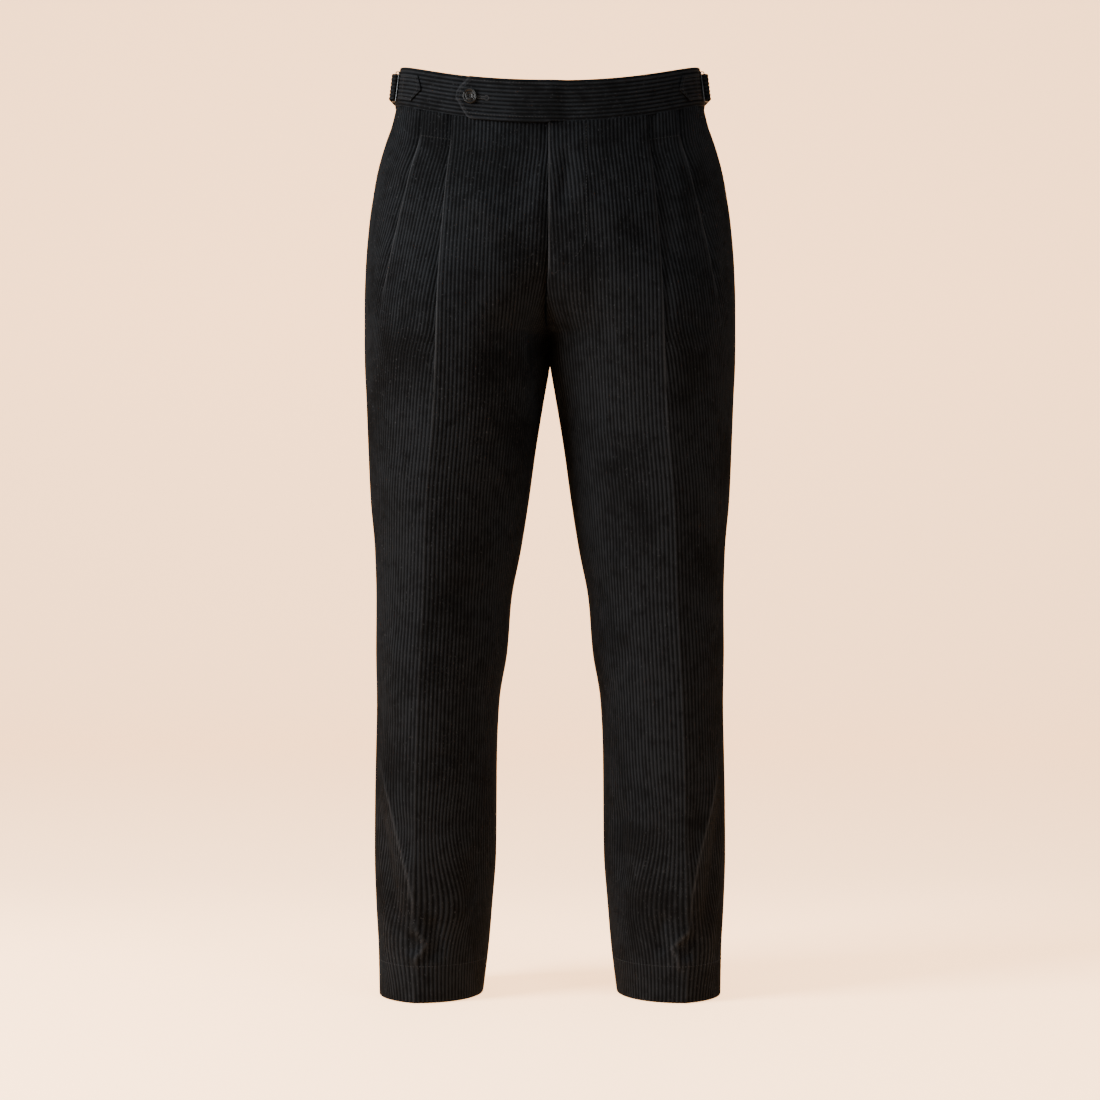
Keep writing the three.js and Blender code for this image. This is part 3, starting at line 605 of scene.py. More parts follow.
def pleat_path(depth):
    """A reverse pleat from above: out over its fold, back under it, out again, and up to the face."""
    open_share = min(1, depth / PLEAT_LEAST)
    r = PLEAT_RADIUS * open_share + 1e-4
    depth = max(depth, 1e-3)
    turn = np.linspace(np.pi / 2, -np.pi / 2, 7)
    outward = [(-r + r * np.cos(a), -r + r * np.sin(a)) for a in turn]
    inward = [(-depth + r - r * np.cos(a), -3 * r + r * np.sin(a)) for a in turn]
    rising = [(PLEAT_RAMP * t, -4 * r * (1 - smoothstep(t, 0, 1))) for t in np.linspace(0.08, 1, 8)]
    return outward + inward + rising


# Which point of a pleat's path is the tip of its fold.
PLEAT_TIP = 3
# How far the rows of stitches lie from a pocket mouth and from the top of a hem.
MOUTH_INSET, HEM_INSET = 6, 1.5


def centre_front(side, height):
    """Where a front's inner edge lies: its distance past the middle, and how far it is sunk."""
    lapped = smoothstep(height, FLY_SEAM_TOP, FLY_BOTTOM)
    closed = smoothstep(height, CROTCH + 2, CROTCH + 16)
    sunk = smoothstep(height, FLY_LEVEL, FLY_SEAM_TOP)
    if side > 0:
        return SEAM - FLY_OVERLAP * (1.2 * closed + 0.2 * lapped), 0.0
    return SEAM - FLY_UNDERLAP * lapped, -CLOTH * 1.15 * closed - (FLY_STEP - CLOTH * 1.15) * sunk


def mouth_distance(height):
    share = min(max((height - (BAND_BOTTOM - MOUTH_LENGTH)) / MOUTH_LENGTH, 0), 1)
    return Ring.at(height).outseam - MOUTH_TOP * share


def cloth_thickness(height):
    return HEM_CLOTH if height <= HEM_DEPTH else CLOTH


def front_station(side, height):
    ring = Ring.at(height)
    start, drop = centre_front(side, height)
    end = mouth_distance(height) - SEAM
    first = [(ring.crease + a, d) for a, d in pleat_path(pleat["depth1"](height))]
    second = [(ring.second + a, d) for a, d in pleat_path(pleat["depth2"](height))]
    near = [(start, drop)]
    if drop:
        near += [(a, drop * (1 - smoothstep(a, 2, FLY_UNDERLAP + 6))) for a in range(2, 15, 2)]
    lift = smoothstep(height, *MOUTH_RISE) * MOUTH_LIFT
    far = [(end - 6, 0.0), (end, lift)]
    route = np.array(near + first + second + far)
    steps = np.hypot(*np.diff(route, axis=0).T) + 1e-7
    reach = np.concatenate([[0], np.cumsum(steps)])
    reach -= reach[len(near) + PLEAT_TIP]

    # How strong the painted highlights are at this height: along the crease, the outer pleat's fold
    # edge and the fly's lap.
    opening = smoothstep(height, *PLEATS_OPEN) * (1 - smoothstep(height, *PLEATS_SHUT))
    fold_edge = smoothstep(pleat["depth2"](height), 0.5, 4) * (1 - smoothstep(height, *EDGE_SHUT))
    edge_second = reach[len(near) + len(first) + PLEAT_TIP]
    lap = smoothstep(height, *LAP_HIGHLIGHT) if side > 0 else 0.0
    leaning = smoothstep(height, NOTCH - 5, NOTCH + 4)
    leaning *= 1 - smoothstep(height, CROTCH + 6, CROTCH + 22)
    leaning *= LEAN if side > 0 else LEAN * 0.3

    def shifted(at):
        return at + off_edges(at, reach[0], reach[-1]) * drift(FRONT_DRIFTS[side], at, height)

    def place(at):
        at = shifted(at)
        distance = np.interp(at, reach, route[:, 0])
        depth = np.interp(at, reach, route[:, 1])
        fold = fold_rise(FRONT_FOLDS[side], distance - ring.crease, height)
        points = ring.points(side, distance, depth + fold - cloth_thickness(height) / 2)
        points[:, 0] -= leaning * (1 - smoothstep(at, reach[0] + 2, reach[0] + 14)) * side
        return points

    # Painted highlight: pale lines along the pressed crease, the outer pleat's fold edge, the fly's lap
    # edge and the fold ridges.
    def worn(at):
        at = shifted(at)
        edge_highlight = (0.08 + 0.7 * opening) * bell(at, CREASE_HIGHLIGHT_WIDTH)
        edge_highlight += 0.85 * fold_edge * bell(at - edge_second, 2.3)
        edge_highlight += lap * bell(at - reach[0], 1.2)
        across = np.interp(at, reach, route[:, 0]) - ring.crease
        shine = 0.6 * fold_rise(FRONT_FOLDS[side], across, height, "shine")
        return np.clip(edge_highlight + shine, 0, 1)

    return Station(reach[0], reach[-1], height, place, worn)


PINCH_ROW, BREAK_ROW, LEG_ROW = 4.0, 5.0, 9.0
PINCH_BELOW, BREAK_BELOW = 132, 282
# How far a panel runs up inside the waistband, and how far it is sunk there.
BAND_TUCK, BAND_SUNK = 1.2, 1.2
LEG_HEIGHTS = sorted(
    {0.0, 1.2, 41.0, 41.5, 690.0, 693.0, 696.0, 699.0, 709.0, 713.0, 716.0, 717.0, 718.5, 720.5}
    | {723.0, 726.0, 730.0, 750.0, 776.0}
    | {float(h) for h in np.arange(PINCH_ROW, PINCH_BELOW, PINCH_ROW)}
    | {float(h) for h in np.arange(PINCH_BELOW, BREAK_BELOW, BREAK_ROW)}
    | {float(h) for h in np.arange(BREAK_BELOW, 969, LEG_ROW)}
    | {BAND_BOTTOM - 0.5, BAND_BOTTOM + BAND_TUCK}
)

# Back leg panels: seat and back leg in one, plain, with the crease pressed in from below the seat.
BACK_FOLDS = {-1: (
    ((-66, 470, -24, 440, 26, 428), 13, 14, -3.6),
    ((-44, 414, 0, 392, 46, 390), 14, 13, 3.0),
    ((66, 246, 34, 190, 6, 140, 0, 92), 13, 13, 3.4, 1, 0.5),
    ((58, 190, 30, 128, 22, 62), 13, 13, -3.6),
    ((-40, 200, -56, 130, -46, 76), 16, 16, 2.8),
    ((0, 92, -11, 66, -2, 44), 5, 5, 2.4, 1, 0.6),
    ((-12, 96, -24, 62), 10, 10, -2.8),
    ((70, 690, 10, 660, -46, 648), 22, 20, -2.6),
    ((30, 620, -40, 596), 18, 18, 1.6),
), 1: (
    ((-60, 458, -18, 432, 34, 434), 14, 13, -3.4),
    ((-52, 404, -6, 382, 40, 376), 13, 14, 3.0),
    ((62, 240, 30, 182, 8, 128, 2, 84), 12, 14, 3.2, 1, 0.5),
    ((64, 196, 34, 132, 24, 70), 13, 13, -3.6),
    ((-36, 214, -50, 148, -44, 84), 17, 15, 2.6),
    ((2, 84, -12, 60, -5, 42), 5, 5, 2.4, 1, 0.6),
    ((-14, 102, -26, 70), 10, 10, -2.6),
    ((64, 676, 6, 650, -40, 640), 20, 22, -2.4),
    ((24, 604, -44, 584), 18, 18, 1.6),
)}
BACK_DRIFTS = {
    -1: ((-44, 116, 30, 44, -6.5), (36, 80, 24, 42, 6.0)),
    1: ((-40, 124, 30, 44, -6.5), (34, 74, 24, 42, 6.0)),
}


def back_station(side, height):
    ring = Ring.at(height)
    low = ring.outseam + SEAM - ring.back_crease
    high = ring.total - SEAM - ring.back_crease
    highlighted = 1 - smoothstep(height, *BACK_HIGHLIGHT_FADE)

    def shifted(at):
        return at + off_edges(at, low, high) * drift(BACK_DRIFTS[side], at, height)

    def place(at):
        at = shifted(at)
        fold = fold_rise(BACK_FOLDS[side], at, height)
        return ring.points(side, at + ring.back_crease, fold - cloth_thickness(height) / 2)

    # Painted highlight: a pale line along the pressed back crease, fading upward, and along the fold
    # ridges.
    def worn(at):
        at = shifted(at)
        edge_highlight = 0.15 * highlighted * bell(at, CREASE_HIGHLIGHT_WIDTH)
        return np.clip(edge_highlight + 0.4 * fold_rise(BACK_FOLDS[side], at, height, "shine"), 0, 1)

    return Station(low, high, height, place, worn)


SIDES = (("left", 1), ("right", -1))
for panel, station, tucks in (("front", front_station, (0.0, 0.4)), ("back", back_station, (0.4, 0.0))):
    for name, side in SIDES:
        stations = [station(side, height) for height in LEG_HEIGHTS]
        weave(f"{panel}_{name}", stations, cloth_thickness, side, tucks, (0.5, BAND_SUNK))

# Pocket facings: corduroy behind each slanted pocket mouth, from under the front to the outseam.
FACING_DROP, FACING_TUCK = 2.7, 8


def facing_station(side, height):
    mouth = mouth_distance(height)
    end = Ring.at(height).outseam - SEAM
    low = mouth - FACING_TUCK

    def place(at):
        distance = at + end
        rise = smoothstep(np.minimum(distance, end), mouth + (end - mouth) * 0.25, end)
        return Ring.at(height).points(side, distance, -CLOTH / 2 - FACING_DROP * (1 - rise))

    return Station(low - end, 0.0, height, place)


for name, side in SIDES:
    heights = [height for height in LEG_HEIGHTS if height > BAND_BOTTOM - MOUTH_LENGTH + 4]
    stations = [facing_station(side, height) for height in heights]
    weave(f"pocket_facing_{name}", stations, CLOTH, side)

# Waistband: two lengths of corduroy with the wales running round the waist, doubled over a stiffener.
# The wearer's left half runs on past the centre front as a pointed tab over the right half.
BAND_CLOTH, BAND_ROW, CENTRE_LAP = 2.8, 3.0, 0.25
TAB_LENGTH, TAB_LIFT, TIP_RIM, TAB_OVERHANG = 103, 3.5, 17, 0.045
BAND_TOTAL = Ring.at(BAND_BOTTOM).total - SEAM
BAND_HIGH = BAND_TOP - BAND_BOTTOM
# The tab's end: how much of the band's height it keeps at each distance from its point.
TAB_END = (
    (0, 0.42, 0.53), (1.2, 0.37, 0.60), (3.8, 0.33, 0.72), (6, 0.25, 0.78), (9.3, 0.145, 0.85),
    (14.5, 0, 1),
)


def band_points(arc, share, depth):
    """Points on the waistband. The arc runs from the centre front, + to the wearer's left."""
    arc, share, depth = np.broadcast_arrays(*(np.asarray(v, float) for v in (arc, share, depth)))
    points = np.zeros((arc.size, 3))
    for value in np.unique(share):
        rows = share == value
        ring = Ring.at(BAND_BOTTOM + BAND_HIGH * float(value))
        scale = ring.total / Ring.at(BAND_BOTTOM).total
        for side in (1, -1):
            own = rows & ((arc >= 0) if side > 0 else (arc < 0))
            if own.any():
                points[own] = ring.points(side, np.abs(arc[own]) * scale, depth[own])
    return points


def band_station(arc, low, high, depth, along=None, rim=EDGE_REACH, shine=0.0):
    low, high = low * BAND_HIGH, high * BAND_HIGH

    def place(at):
        return band_points(arc, np.clip(at / BAND_HIGH, -0.06, 1.02), depth)

    # Painted highlight: a pale band along the lower and upper edges.
    def worn(at):
        return shine * (bell(at - low, rim) + bell(at - high, rim)).clip(0, 1)

    return Station(low, high, arc if along is None else along, place, worn, rim)


def tab_lift(arc):
    return -BAND_CLOTH / 2 + TAB_LIFT * (1 - smoothstep(arc, 0, 22))


def tab_span(arc):
    """The band's lower and upper edge. The tab hangs a little over the fronts, clear of its end."""
    low, high = shape_at(TAB_END, arc + TAB_LENGTH)
    over = smoothstep(arc + TAB_LENGTH, 14, 19) * (1 - smoothstep(arc, -4, 1))
    return low - TAB_OVERHANG * float(over), high


def shape_at(outline, distance):
    """How much of its height a pointed tab keeps at a distance from its point."""
    table = np.array(outline, float)
    low = float(np.interp(distance, table[:, 0], table[:, 1]))
    high = float(np.interp(distance, table[:, 0], table[:, 2]))
    return low, high


tip = [-TAB_LENGTH + d for d in (0, 0.6, 1.2, 2.4, 3.8, 6, 7.6, 9.3, 12, 14.5)]
arcs = tip + [float(a) for a in np.arange(-TAB_LENGTH + 17, BAND_TOTAL, BAND_ROW)] + [BAND_TOTAL]
# The tab's point gets a painted highlight along its edges.
stations = [
    band_station(
        a, *tab_span(a), tab_lift(a),
        rim=2.8 if a < TIP_RIM - TAB_LENGTH else EDGE_REACH,
        shine=0.42 * (1 - smoothstep(a + TAB_LENGTH, TIP_RIM, TIP_RIM + 20)),
    )
    for a in arcs
]
weave("waistband_left", stations, BAND_CLOTH, -1, (0.5, 0.5), (0.5, 0.0))

arcs = [4.0, 2.0, 0.0] + [-float(a) for a in np.arange(2, BAND_TOTAL, BAND_ROW)]
arcs += [-BAND_TOTAL - CENTRE_LAP]
stations = [band_station(a, 0, 1, -BAND_CLOTH / 2) for a in arcs]
weave("waistband_right", stations, BAND_CLOTH, 1)

# Side adjusters: a short pointed tab of corduroy, sewn down in front of a slim metal slide, and a strap
# from the back that goes through the slide and lies back on itself.
STRAP_LOW, STRAP_HIGH = 0.17, 0.83
LAYER = 1.6
# From the adjuster tab's point back to the slide, its whole length, and how far it stands off.
TAB_REACH, TAB_WHOLE, TAB_STAND = 50, 46.8, 0.75
SLIDE_ARC, SLIDE_WIRE = 201, 1.2
SLIDE_FRONT, SLIDE_BACK, SLIDE_PAST = -1.2, 8.6, 0.055
SLIDE_DEPTH, SLIDE_TILT = 3.2, 1.4
POINT_END = (
    (0, 0.475, 0.525), (1, 0.455, 0.575), (3.3, 0.41, 0.68), (6.6, 0.345, 0.815),
    (7.4, 0.33, STRAP_HIGH), (14.5, STRAP_LOW, STRAP_HIGH),
)
# The strap's way through the slide: distance behind the slide, and depth.
STRAP_WAY = (
    (114, 1.7), (30, 1.7), (18, 1.7), (10, 1.7), (6.2, 2.1), (4.4, 3.4), (4.2, 5.2), (5.6, 7.1),
    (9, 8.0), (14, 7.8), (21, 6.6), (30, 5.2), (40, 4.2), (52, 3.8), (68, 3.7),
)


def strap_stations(side):
    way = np.array(STRAP_WAY, float)
    reach = np.concatenate([[0], np.cumsum(np.hypot(*np.diff(way, axis=0).T))])
    fine = np.arange(reach[3], reach[9], 0.9)
    before, after = np.arange(0, reach[3], 3.0), np.arange(reach[9], reach[-1], 3.0)
    stops = np.concatenate([before, fine, after, reach[-1:]])
    behind, depth = (np.interp(stops, reach, way[:, k]) for k in (0, 1))
    for column in (behind, depth):
        column[1:-1] = (column[:-2] + 2 * column[1:-1] + column[2:]) / 4
    return [
        band_station(side * (SLIDE_ARC + b), STRAP_LOW, STRAP_HIGH, d, along=s)
        for b, d, s in zip(behind, depth, stops)
    ]


def slide_metal():
    """Nickel-plated steel, softly brushed, with faint handling marks."""
    paint = Paint("slide_nickel")
    marks = paint.noise(900.0, 5.0)
    return paint.finish({
        "Base Color": paint.mix(marks, (0.018, 0.019, 0.020, 1), (0.045, 0.046, 0.048, 1)),
        "Roughness": 0.22 + 0.18 * marks,
        "Metallic": 1.0,
        "Normal": paint.bump(paint.noise(3000.0), 0.12, 0.0001),
    })


nickel = slide_metal()


def wire_frame(name, wide, tall, wire):
    """A rectangle of round wire with rounded corners."""
    bpy.ops.object.select_all(action="DESELECT")
    bpy.ops.mesh.primitive_plane_add(size=1)
    frame_piece = bpy.context.object
    frame_piece.name = name
    frame_piece.scale = (wide, tall, 1)
    bpy.ops.object.transform_apply(scale=True)
    bpy.ops.object.mode_set(mode="EDIT")
    bpy.ops.mesh.select_all(action="SELECT")
    bpy.ops.mesh.bevel(offset=wire * 0.9, segments=5, affect="VERTICES")
    bpy.ops.mesh.delete(type="ONLY_FACE")
    bpy.ops.object.mode_set(mode="OBJECT")
    bpy.ops.object.convert(target="CURVE")
    frame_piece.data.bevel_depth = wire / 2
    frame_piece.data.bevel_resolution = 3
    bpy.ops.object.convert(target="MESH")
    bpy.ops.object.shade_smooth()
    return bpy.context.object


def finish_hard(piece, axes, origin, node):
    """Moves a hard piece to its seat on the cloth, hangs it on the root, and hides the part it stands
    for.
    """
    piece.data.transform(Matrix(axes).transposed().to_4x4())
    piece.data.transform(Matrix.Translation(origin))
    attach(piece, "root")
    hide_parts(node)


def slide_seat(side):
    """The slide on the waistband: its way across, its way up, and its middle."""
    low_front, high_front, low_back, high_back = (
        Vector(band_points(side * (SLIDE_ARC + arc), share, depth)[0].tolist()) * MILLI
        for arc, depth in ((SLIDE_FRONT, SLIDE_DEPTH), (SLIDE_BACK, SLIDE_DEPTH + SLIDE_TILT))
        for share in (STRAP_LOW - SLIDE_PAST, STRAP_HIGH + SLIDE_PAST)
    )
    across = (low_back + high_back - low_front - high_front) / 2
    up = (high_front + high_back - low_front - low_back) / 2
    middle = (low_front + high_front + low_back + high_back) / 4
    return across, up, middle


for name, side in SIDES:
    tip = side * (SLIDE_ARC - TAB_REACH)
    ways = [0, 0.5, 1, 2, 3.3, 5, 6.6, 7.4, 9, 11.5, 14]
    ways += [float(v) for v in np.arange(15, 46, 2.5)] + [TAB_WHOLE]
    depth = TAB_STAND + LAYER / 2
    stations = [
        band_station(tip + side * w, *shape_at(POINT_END, w), depth, along=w, rim=1.5, shine=0.06)
        for w in ways
    ]
    weave(f"adjuster_tab_{name}", stations, LAYER, -side, (0.35, 0.35), (0.3, 0.0))
    weave(
        f"adjuster_strap_{name}", strap_stations(side), LAYER * 0.8, -side, (0.3, 0.3), (0.2, 0.3),
        both=True,
    )
    across, up, middle = slide_seat(side)
    slide = wire_frame(f"adjuster_slide_{name}_wire", across.length, up.length, SLIDE_WIRE * MILLI)
    x, y = across.normalized(), up.normalized()
    slide.data.materials.append(nickel)
    finish_hard(slide, (x, y, x.cross(y).normalized()), middle, f"adjuster_slide_{name}")

# Button: black horn, turned with a raised rim, a channel, an inner ring and a dished middle, and
# sewn on through four holes.
BUTTON_RADIUS, BUTTON_ARC, BUTTON_BASE = 8.3, 85.5, 2.1
BUTTON_FACE = TAB_LIFT + 0.5
# Each cut of the lathe on the face: how far in, and how far up.
BUTTON_CUTS = (
    (0.5, 0.75), (0.7, 0.35), (0.7, -0.25), (0.5, -1.0), (0.9, -0.15), (0.5, 0.15), (0.45, 0.5),
    (0.5, 0.05), (0.5, -0.5), (0.6, -0.3), (0.6, -0.1),
)
HOLE_RADIUS, HOLE_SPREAD = 0.55, 0.95


def button_horn():
    """Polished black horn with faint brown-grey streaks under the surface."""
    paint = Paint("button_horn_black")
    streaks = paint.noise(260.0, 6.0)
    return paint.finish({
        "Base Color": paint.mix(streaks, (0.0012, 0.0012, 0.0012, 1), (0.0045, 0.0042, 0.0040, 1)),
        "Roughness": 0.10 + 0.10 * paint.noise(1800.0, 4.0),
        "Specular IOR Level": 0.07,
    })


def start_on(piece, chosen):
    """Selects the faces of a piece that are chosen, and starts to edit them."""
    bpy.ops.object.mode_set(mode="EDIT")
    bpy.ops.mesh.select_all(action="DESELECT")
    bpy.ops.object.mode_set(mode="OBJECT")
    for polygon in piece.data.polygons:
        polygon.select = chosen(polygon)
    bpy.ops.object.mode_set(mode="EDIT")


def turned_button(name):
    bpy.ops.object.select_all(action="DESELECT")
    bpy.ops.mesh.primitive_cylinder_add(
        vertices=64, radius=BUTTON_RADIUS * MILLI, depth=BUTTON_BASE * MILLI,
        location=(0, 0, BUTTON_BASE / 2 * MILLI),
    )
    button = bpy.context.object
    button.name = name
    bpy.ops.object.transform_apply()
    start_on(button, lambda polygon: polygon.normal.z > 0.9)
    for inward, up in BUTTON_CUTS:
        bpy.ops.mesh.inset(thickness=inward * MILLI, depth=up * MILLI)
    bpy.ops.object.mode_set(mode="OBJECT")
    start_on(button, lambda polygon: polygon.normal.z < -0.9 and polygon.center.z < 0.0001)
    bpy.ops.mesh.inset(thickness=0.9 * MILLI, depth=0.35 * MILLI)
    bpy.ops.object.mode_set(mode="OBJECT")
    round_off = button.modifiers.new("round_off", "SUBSURF")
    round_off.levels = 1
    bpy.ops.object.modifier_apply(modifier=round_off.name)
    bpy.ops.object.select_all(action="DESELECT")
    for x in (-HOLE_SPREAD, HOLE_SPREAD):
        for y in (-HOLE_SPREAD, HOLE_SPREAD):
            bpy.ops.mesh.primitive_cylinder_add(
                vertices=16, radius=HOLE_RADIUS * MILLI, depth=0.02, location=(x * MILLI, y * MILLI, 0),
            )
            drill = bpy.context.object
            select_only(button)
            hole = button.modifiers.new("hole", "BOOLEAN")
            hole.object = drill
            hole.operation = "DIFFERENCE"
            bpy.ops.object.modifier_apply(modifier=hole.name)
            bpy.data.objects.remove(drill)
    smooth(button, 26)
    return button


around = ((2, 0), (-2, 0), (0, 0.2), (0, -0.2))
face = [band_points(-BUTTON_ARC + a, 0.5 + s, BUTTON_FACE)[0] for a, s in around]
round_way = Vector((face[0] - face[1]).tolist()).normalized()
up_way = Vector((face[2] - face[3]).tolist()).normalized()
out_way = round_way.cross(up_way).normalized()
button_seat = Vector(band_points(-BUTTON_ARC, 0.5, BUTTON_FACE)[0].tolist()) * MILLI
button = turned_button("waist_button_turned")
button.data.materials.clear()
button.data.materials.append(button_horn())
finish_hard(button, (round_way, up_way, out_way), button_seat, "waist_button")

# Sewing: black polyester thread, in rows of short stitches that dip into the cloth at both ends, in
# bar tacks where a pocket would tear, and round the buttonhole.
THREAD_RADIUS = 0.24
STITCH, STITCH_GAP = 2.4, 1.0
THREAD_SIDES = 6
# How high thread lies over the middle of the wales.
ON_WALES = 0.12
# A stitch's bow: share of its length, height and thickness.
STITCH_BOW = ((0, -0.4, 0.5), (0.18, 0.0, 1), (0.5, 0.12, 1), (0.82, 0.0, 1), (1, -0.4, 0.5))
DARK_THREAD, PALE_THREAD = (0.0060, 0.0063, 0.0068, 1), (0.0170, 0.0177, 0.0186, 1)


def sewing_thread():
    paint = Paint("thread_black")
    twist = paint.noise(4200.0, 2.0)
    return paint.finish({
        "Base Color": paint.mix(twist, DARK_THREAD, PALE_THREAD),
        "Roughness": 0.75 + 0.15 * twist,
        "Specular IOR Level": 0.05,
        "Normal": paint.bump(twist, 0.4, 0.0001),
    })


thread = sewing_thread()


def sew(name, place, stitches, radius=THREAD_RADIUS):
    """Threads over the cloth. A stitch is its two ends in the flat coordinates that place reads."""
    verts, faces = [], []
    turns = np.linspace(0, 2 * np.pi, THREAD_SIDES, endpoint=False)
    for start, end in stitches:
        start, end = np.array(start, float), np.array(end, float)
        first = len(verts)
        centres = [place(*(start + (end - start) * share), lift) for share, lift, _ in STITCH_BOW]
        out = place(*((start + end) / 2), 1.0) - place(*((start + end) / 2), 0.0)
        out /= np.linalg.norm(out)
        way = centres[-1] - centres[0]
        across = np.cross(way, out)
        across /= np.linalg.norm(across)
        for centre, (_, _, thick) in zip(centres, STITCH_BOW):
            for turn in turns:
                spoke = across * np.cos(turn) + out * np.sin(turn)
                verts.append((centre + radius * thick * spoke) * MILLI)
        for ring in range(len(STITCH_BOW) - 1):
            for k in range(THREAD_SIDES):
                base = first + ring * THREAD_SIDES
                a, b = base + k, base + (k + 1) % THREAD_SIDES
                faces.append((a, a + THREAD_SIDES, b + THREAD_SIDES, b))
        faces.append(tuple(first + k for k in range(THREAD_SIDES)))
        last = first + (len(STITCH_BOW) - 1) * THREAD_SIDES
        faces.append(tuple(last + k for k in reversed(range(THREAD_SIDES))))
    mesh = bpy.data.meshes.new(name)
    mesh.from_pydata([tuple(v) for v in verts], [], faces)
    mesh.materials.append(thread)
    row = add(name, mesh)
    smooth(row, 60)
    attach(row, "root")


def stitches_along(place, route):
    """Even stitches along a route of flat coordinates."""
    route = np.array(route, float)
    legs = [np.linspace(a, b, 24, endpoint=False) for a, b in zip(route[:-1], route[1:])]
    fine = np.concatenate(legs + [route[-1:]])
    points = np.array([place(u, v, 0.0) for u, v in fine])
    reach = np.concatenate([[0], np.cumsum(np.linalg.norm(np.diff(points, axis=0), axis=1))])
    stops = np.arange(0.5, reach[-1] - STITCH, STITCH + STITCH_GAP)

    def at(stop):
        return tuple(np.interp(stop, reach, fine[:, k]) for k in (0, 1))

    return [(at(stop), at(stop + STITCH)) for stop in stops]


def sew_along(name, place, route):
    sew(name, place, stitches_along(place, route))


def panel_face(side, front=True):
    """Places on a leg panel: distance round from the centre front, and height."""

    def place(distance, height, lift):
        ring = Ring.at(round(float(height), 2))
        across = distance - (ring.crease if front else ring.back_crease)
        fold = fold_rise((FRONT_FOLDS if front else BACK_FOLDS)[side], np.array([across]), height)
        ramp = 0
        if front and across > 0:
            radius = PLEAT_RADIUS * min(1, pleat["depth1"](height) / PLEAT_LEAST)
            ramp = -4 * radius * (1 - smoothstep(across, 0, PLEAT_RAMP))
        return ring.points(side, [distance], lift + fold + ramp + ON_WALES)[0]

    return place


def band_face(depth):
    """Places on the waistband: arc from the centre front, and share of its height."""

    def place(arc, share, lift):
        return band_points(arc, share, depth + lift)[0]

    return place


def pocket_route(height):
    return mouth_distance(height) - MOUTH_INSET, height


def bar_tack(middle, wide, tall, count):
    """Close parallel stitches across a short line."""
    low, high = middle[1] - tall / 2, middle[1] + tall / 2
    across = middle[0] + np.linspace(-wide / 2, wide / 2, count)
    return [((a, low), (a, high)) for a in across]


FLY_STITCH = ((38, 968), (38, 822), (36.5, 810), (31, 799), (22, 788), (12, 779.5), (2.5, 773))
sew_along("fly_stitching", panel_face(1), FLY_STITCH)
for name, side in SIDES:
    place = panel_face(side)
    mouth = [pocket_route(h) for h in np.linspace(BAND_BOTTOM - 4, BAND_BOTTOM - MOUTH_LENGTH + 10, 9)]
    sew_along(f"pocket_stitching_{name}", place, mouth)
    top, end = pocket_route(BAND_BOTTOM - 12), pocket_route(BAND_BOTTOM - MOUTH_LENGTH + 12)
    tacks = bar_tack((top[0] + 2.5, top[1]), 6.5, 1.8, 13) + bar_tack((end[0] + 3, end[1]), 6, 1.8, 12)
    sew(f"pocket_tacks_{name}", place, tacks)
    ring = Ring.at(941.0)
    tuck_line = [(ring.crease + 1.5, 941), (ring.second - 2, 941)]
    sew_along(f"pleat_stitching_{name}", place, tuck_line)
    end = mouth_distance(HEM_DEPTH)
    hem = [(distance, HEM_DEPTH - HEM_INSET) for distance in np.linspace(2, end - 1, 7)]
    sew_along(f"hem_stitching_{name}", place, hem)

for name, side in SIDES:
    ring = Ring.at(float(HEM_DEPTH))
    ways = np.linspace(ring.outseam + 2, ring.total - 2, 7)
    hem = [(distance, HEM_DEPTH - HEM_INSET) for distance in ways]
    sew_along(f"back_hem_stitching_{name}", panel_face(side, front=False), hem)

TAB_MARGIN = 3.8
tab_face = band_face(TAB_LIFT + 0.05)
low_margin = TAB_MARGIN / BAND_HIGH
# The row round the point, as its distance from the point and share of the height.
TAB_ROW = (
    (16.5, 0.09), (12, 0.2), (8.4, 0.31), (5.6, 0.39), (4.5, 0.46), (4.8, 0.56), (7, 0.66), (9.2, 0.72),
    (12.4, 0.79), (17.5, 0.91),
)
tab_row = [(d - TAB_LENGTH, share) for d, share in TAB_ROW]
tab_row = [(-3, low_margin)] + tab_row + [(-3, 1 - low_margin)]
sew_along("tab_stitching", tab_face, tab_row)

# Buttonhole stitching on the tab: close stitches round a keyhole eye and along both sides of a slit.
EYE_ARC, EYE_RADIUS = -67.5, 1.5
SLIT_END = -77.5
BAR_LENGTH = 1.5
hole_stitches = []
for turn in np.linspace(-0.8 * np.pi, 0.8 * np.pi, 15):
    way = (np.cos(turn), np.sin(turn) / BAND_HIGH)
    reaches = (EYE_RADIUS, EYE_RADIUS + BAR_LENGTH)
    hole_stitches.append(tuple((EYE_ARC + reach * way[0], 0.5 + reach * way[1]) for reach in reaches))
for arc in np.arange(SLIT_END, EYE_ARC - EYE_RADIUS, 0.62):
    for way in (1, -1):
        reaches = (0.35, 0.35 + BAR_LENGTH)
        hole_stitches.append(tuple((arc, 0.5 + way * reach / BAND_HIGH) for reach in reaches))
sew("buttonhole_stitching", tab_face, hole_stitches, THREAD_RADIUS * 1.25)

for name, side in SIDES:
    point_face = band_face(0.8 + LAYER)
    tip = side * (SLIDE_ARC - TAB_REACH)
    margin = 0.065
    low_row, high_row = STRAP_LOW + margin, STRAP_HIGH - margin
    corners = ((46, low_row), (14, low_row), (4, 0.5), (9, high_row), (46, high_row))
    rows = [(tip + side * along, share) for along, share in corners]
    cross = [(tip + side * 34, STRAP_LOW + 0.03), (tip + side * 34, STRAP_HIGH - 0.03)]
    stitches = stitches_along(point_face, rows) + stitches_along(point_face, cross)
    sew(f"adjuster_stitching_{name}", point_face, stitches)


def button_face(x, y, lift):
    """Places on the dished face of the button."""
    local = round_way * x + up_way * y + out_way * (1.55 + lift)
    return np.array(button_seat) / MILLI + np.array(local)


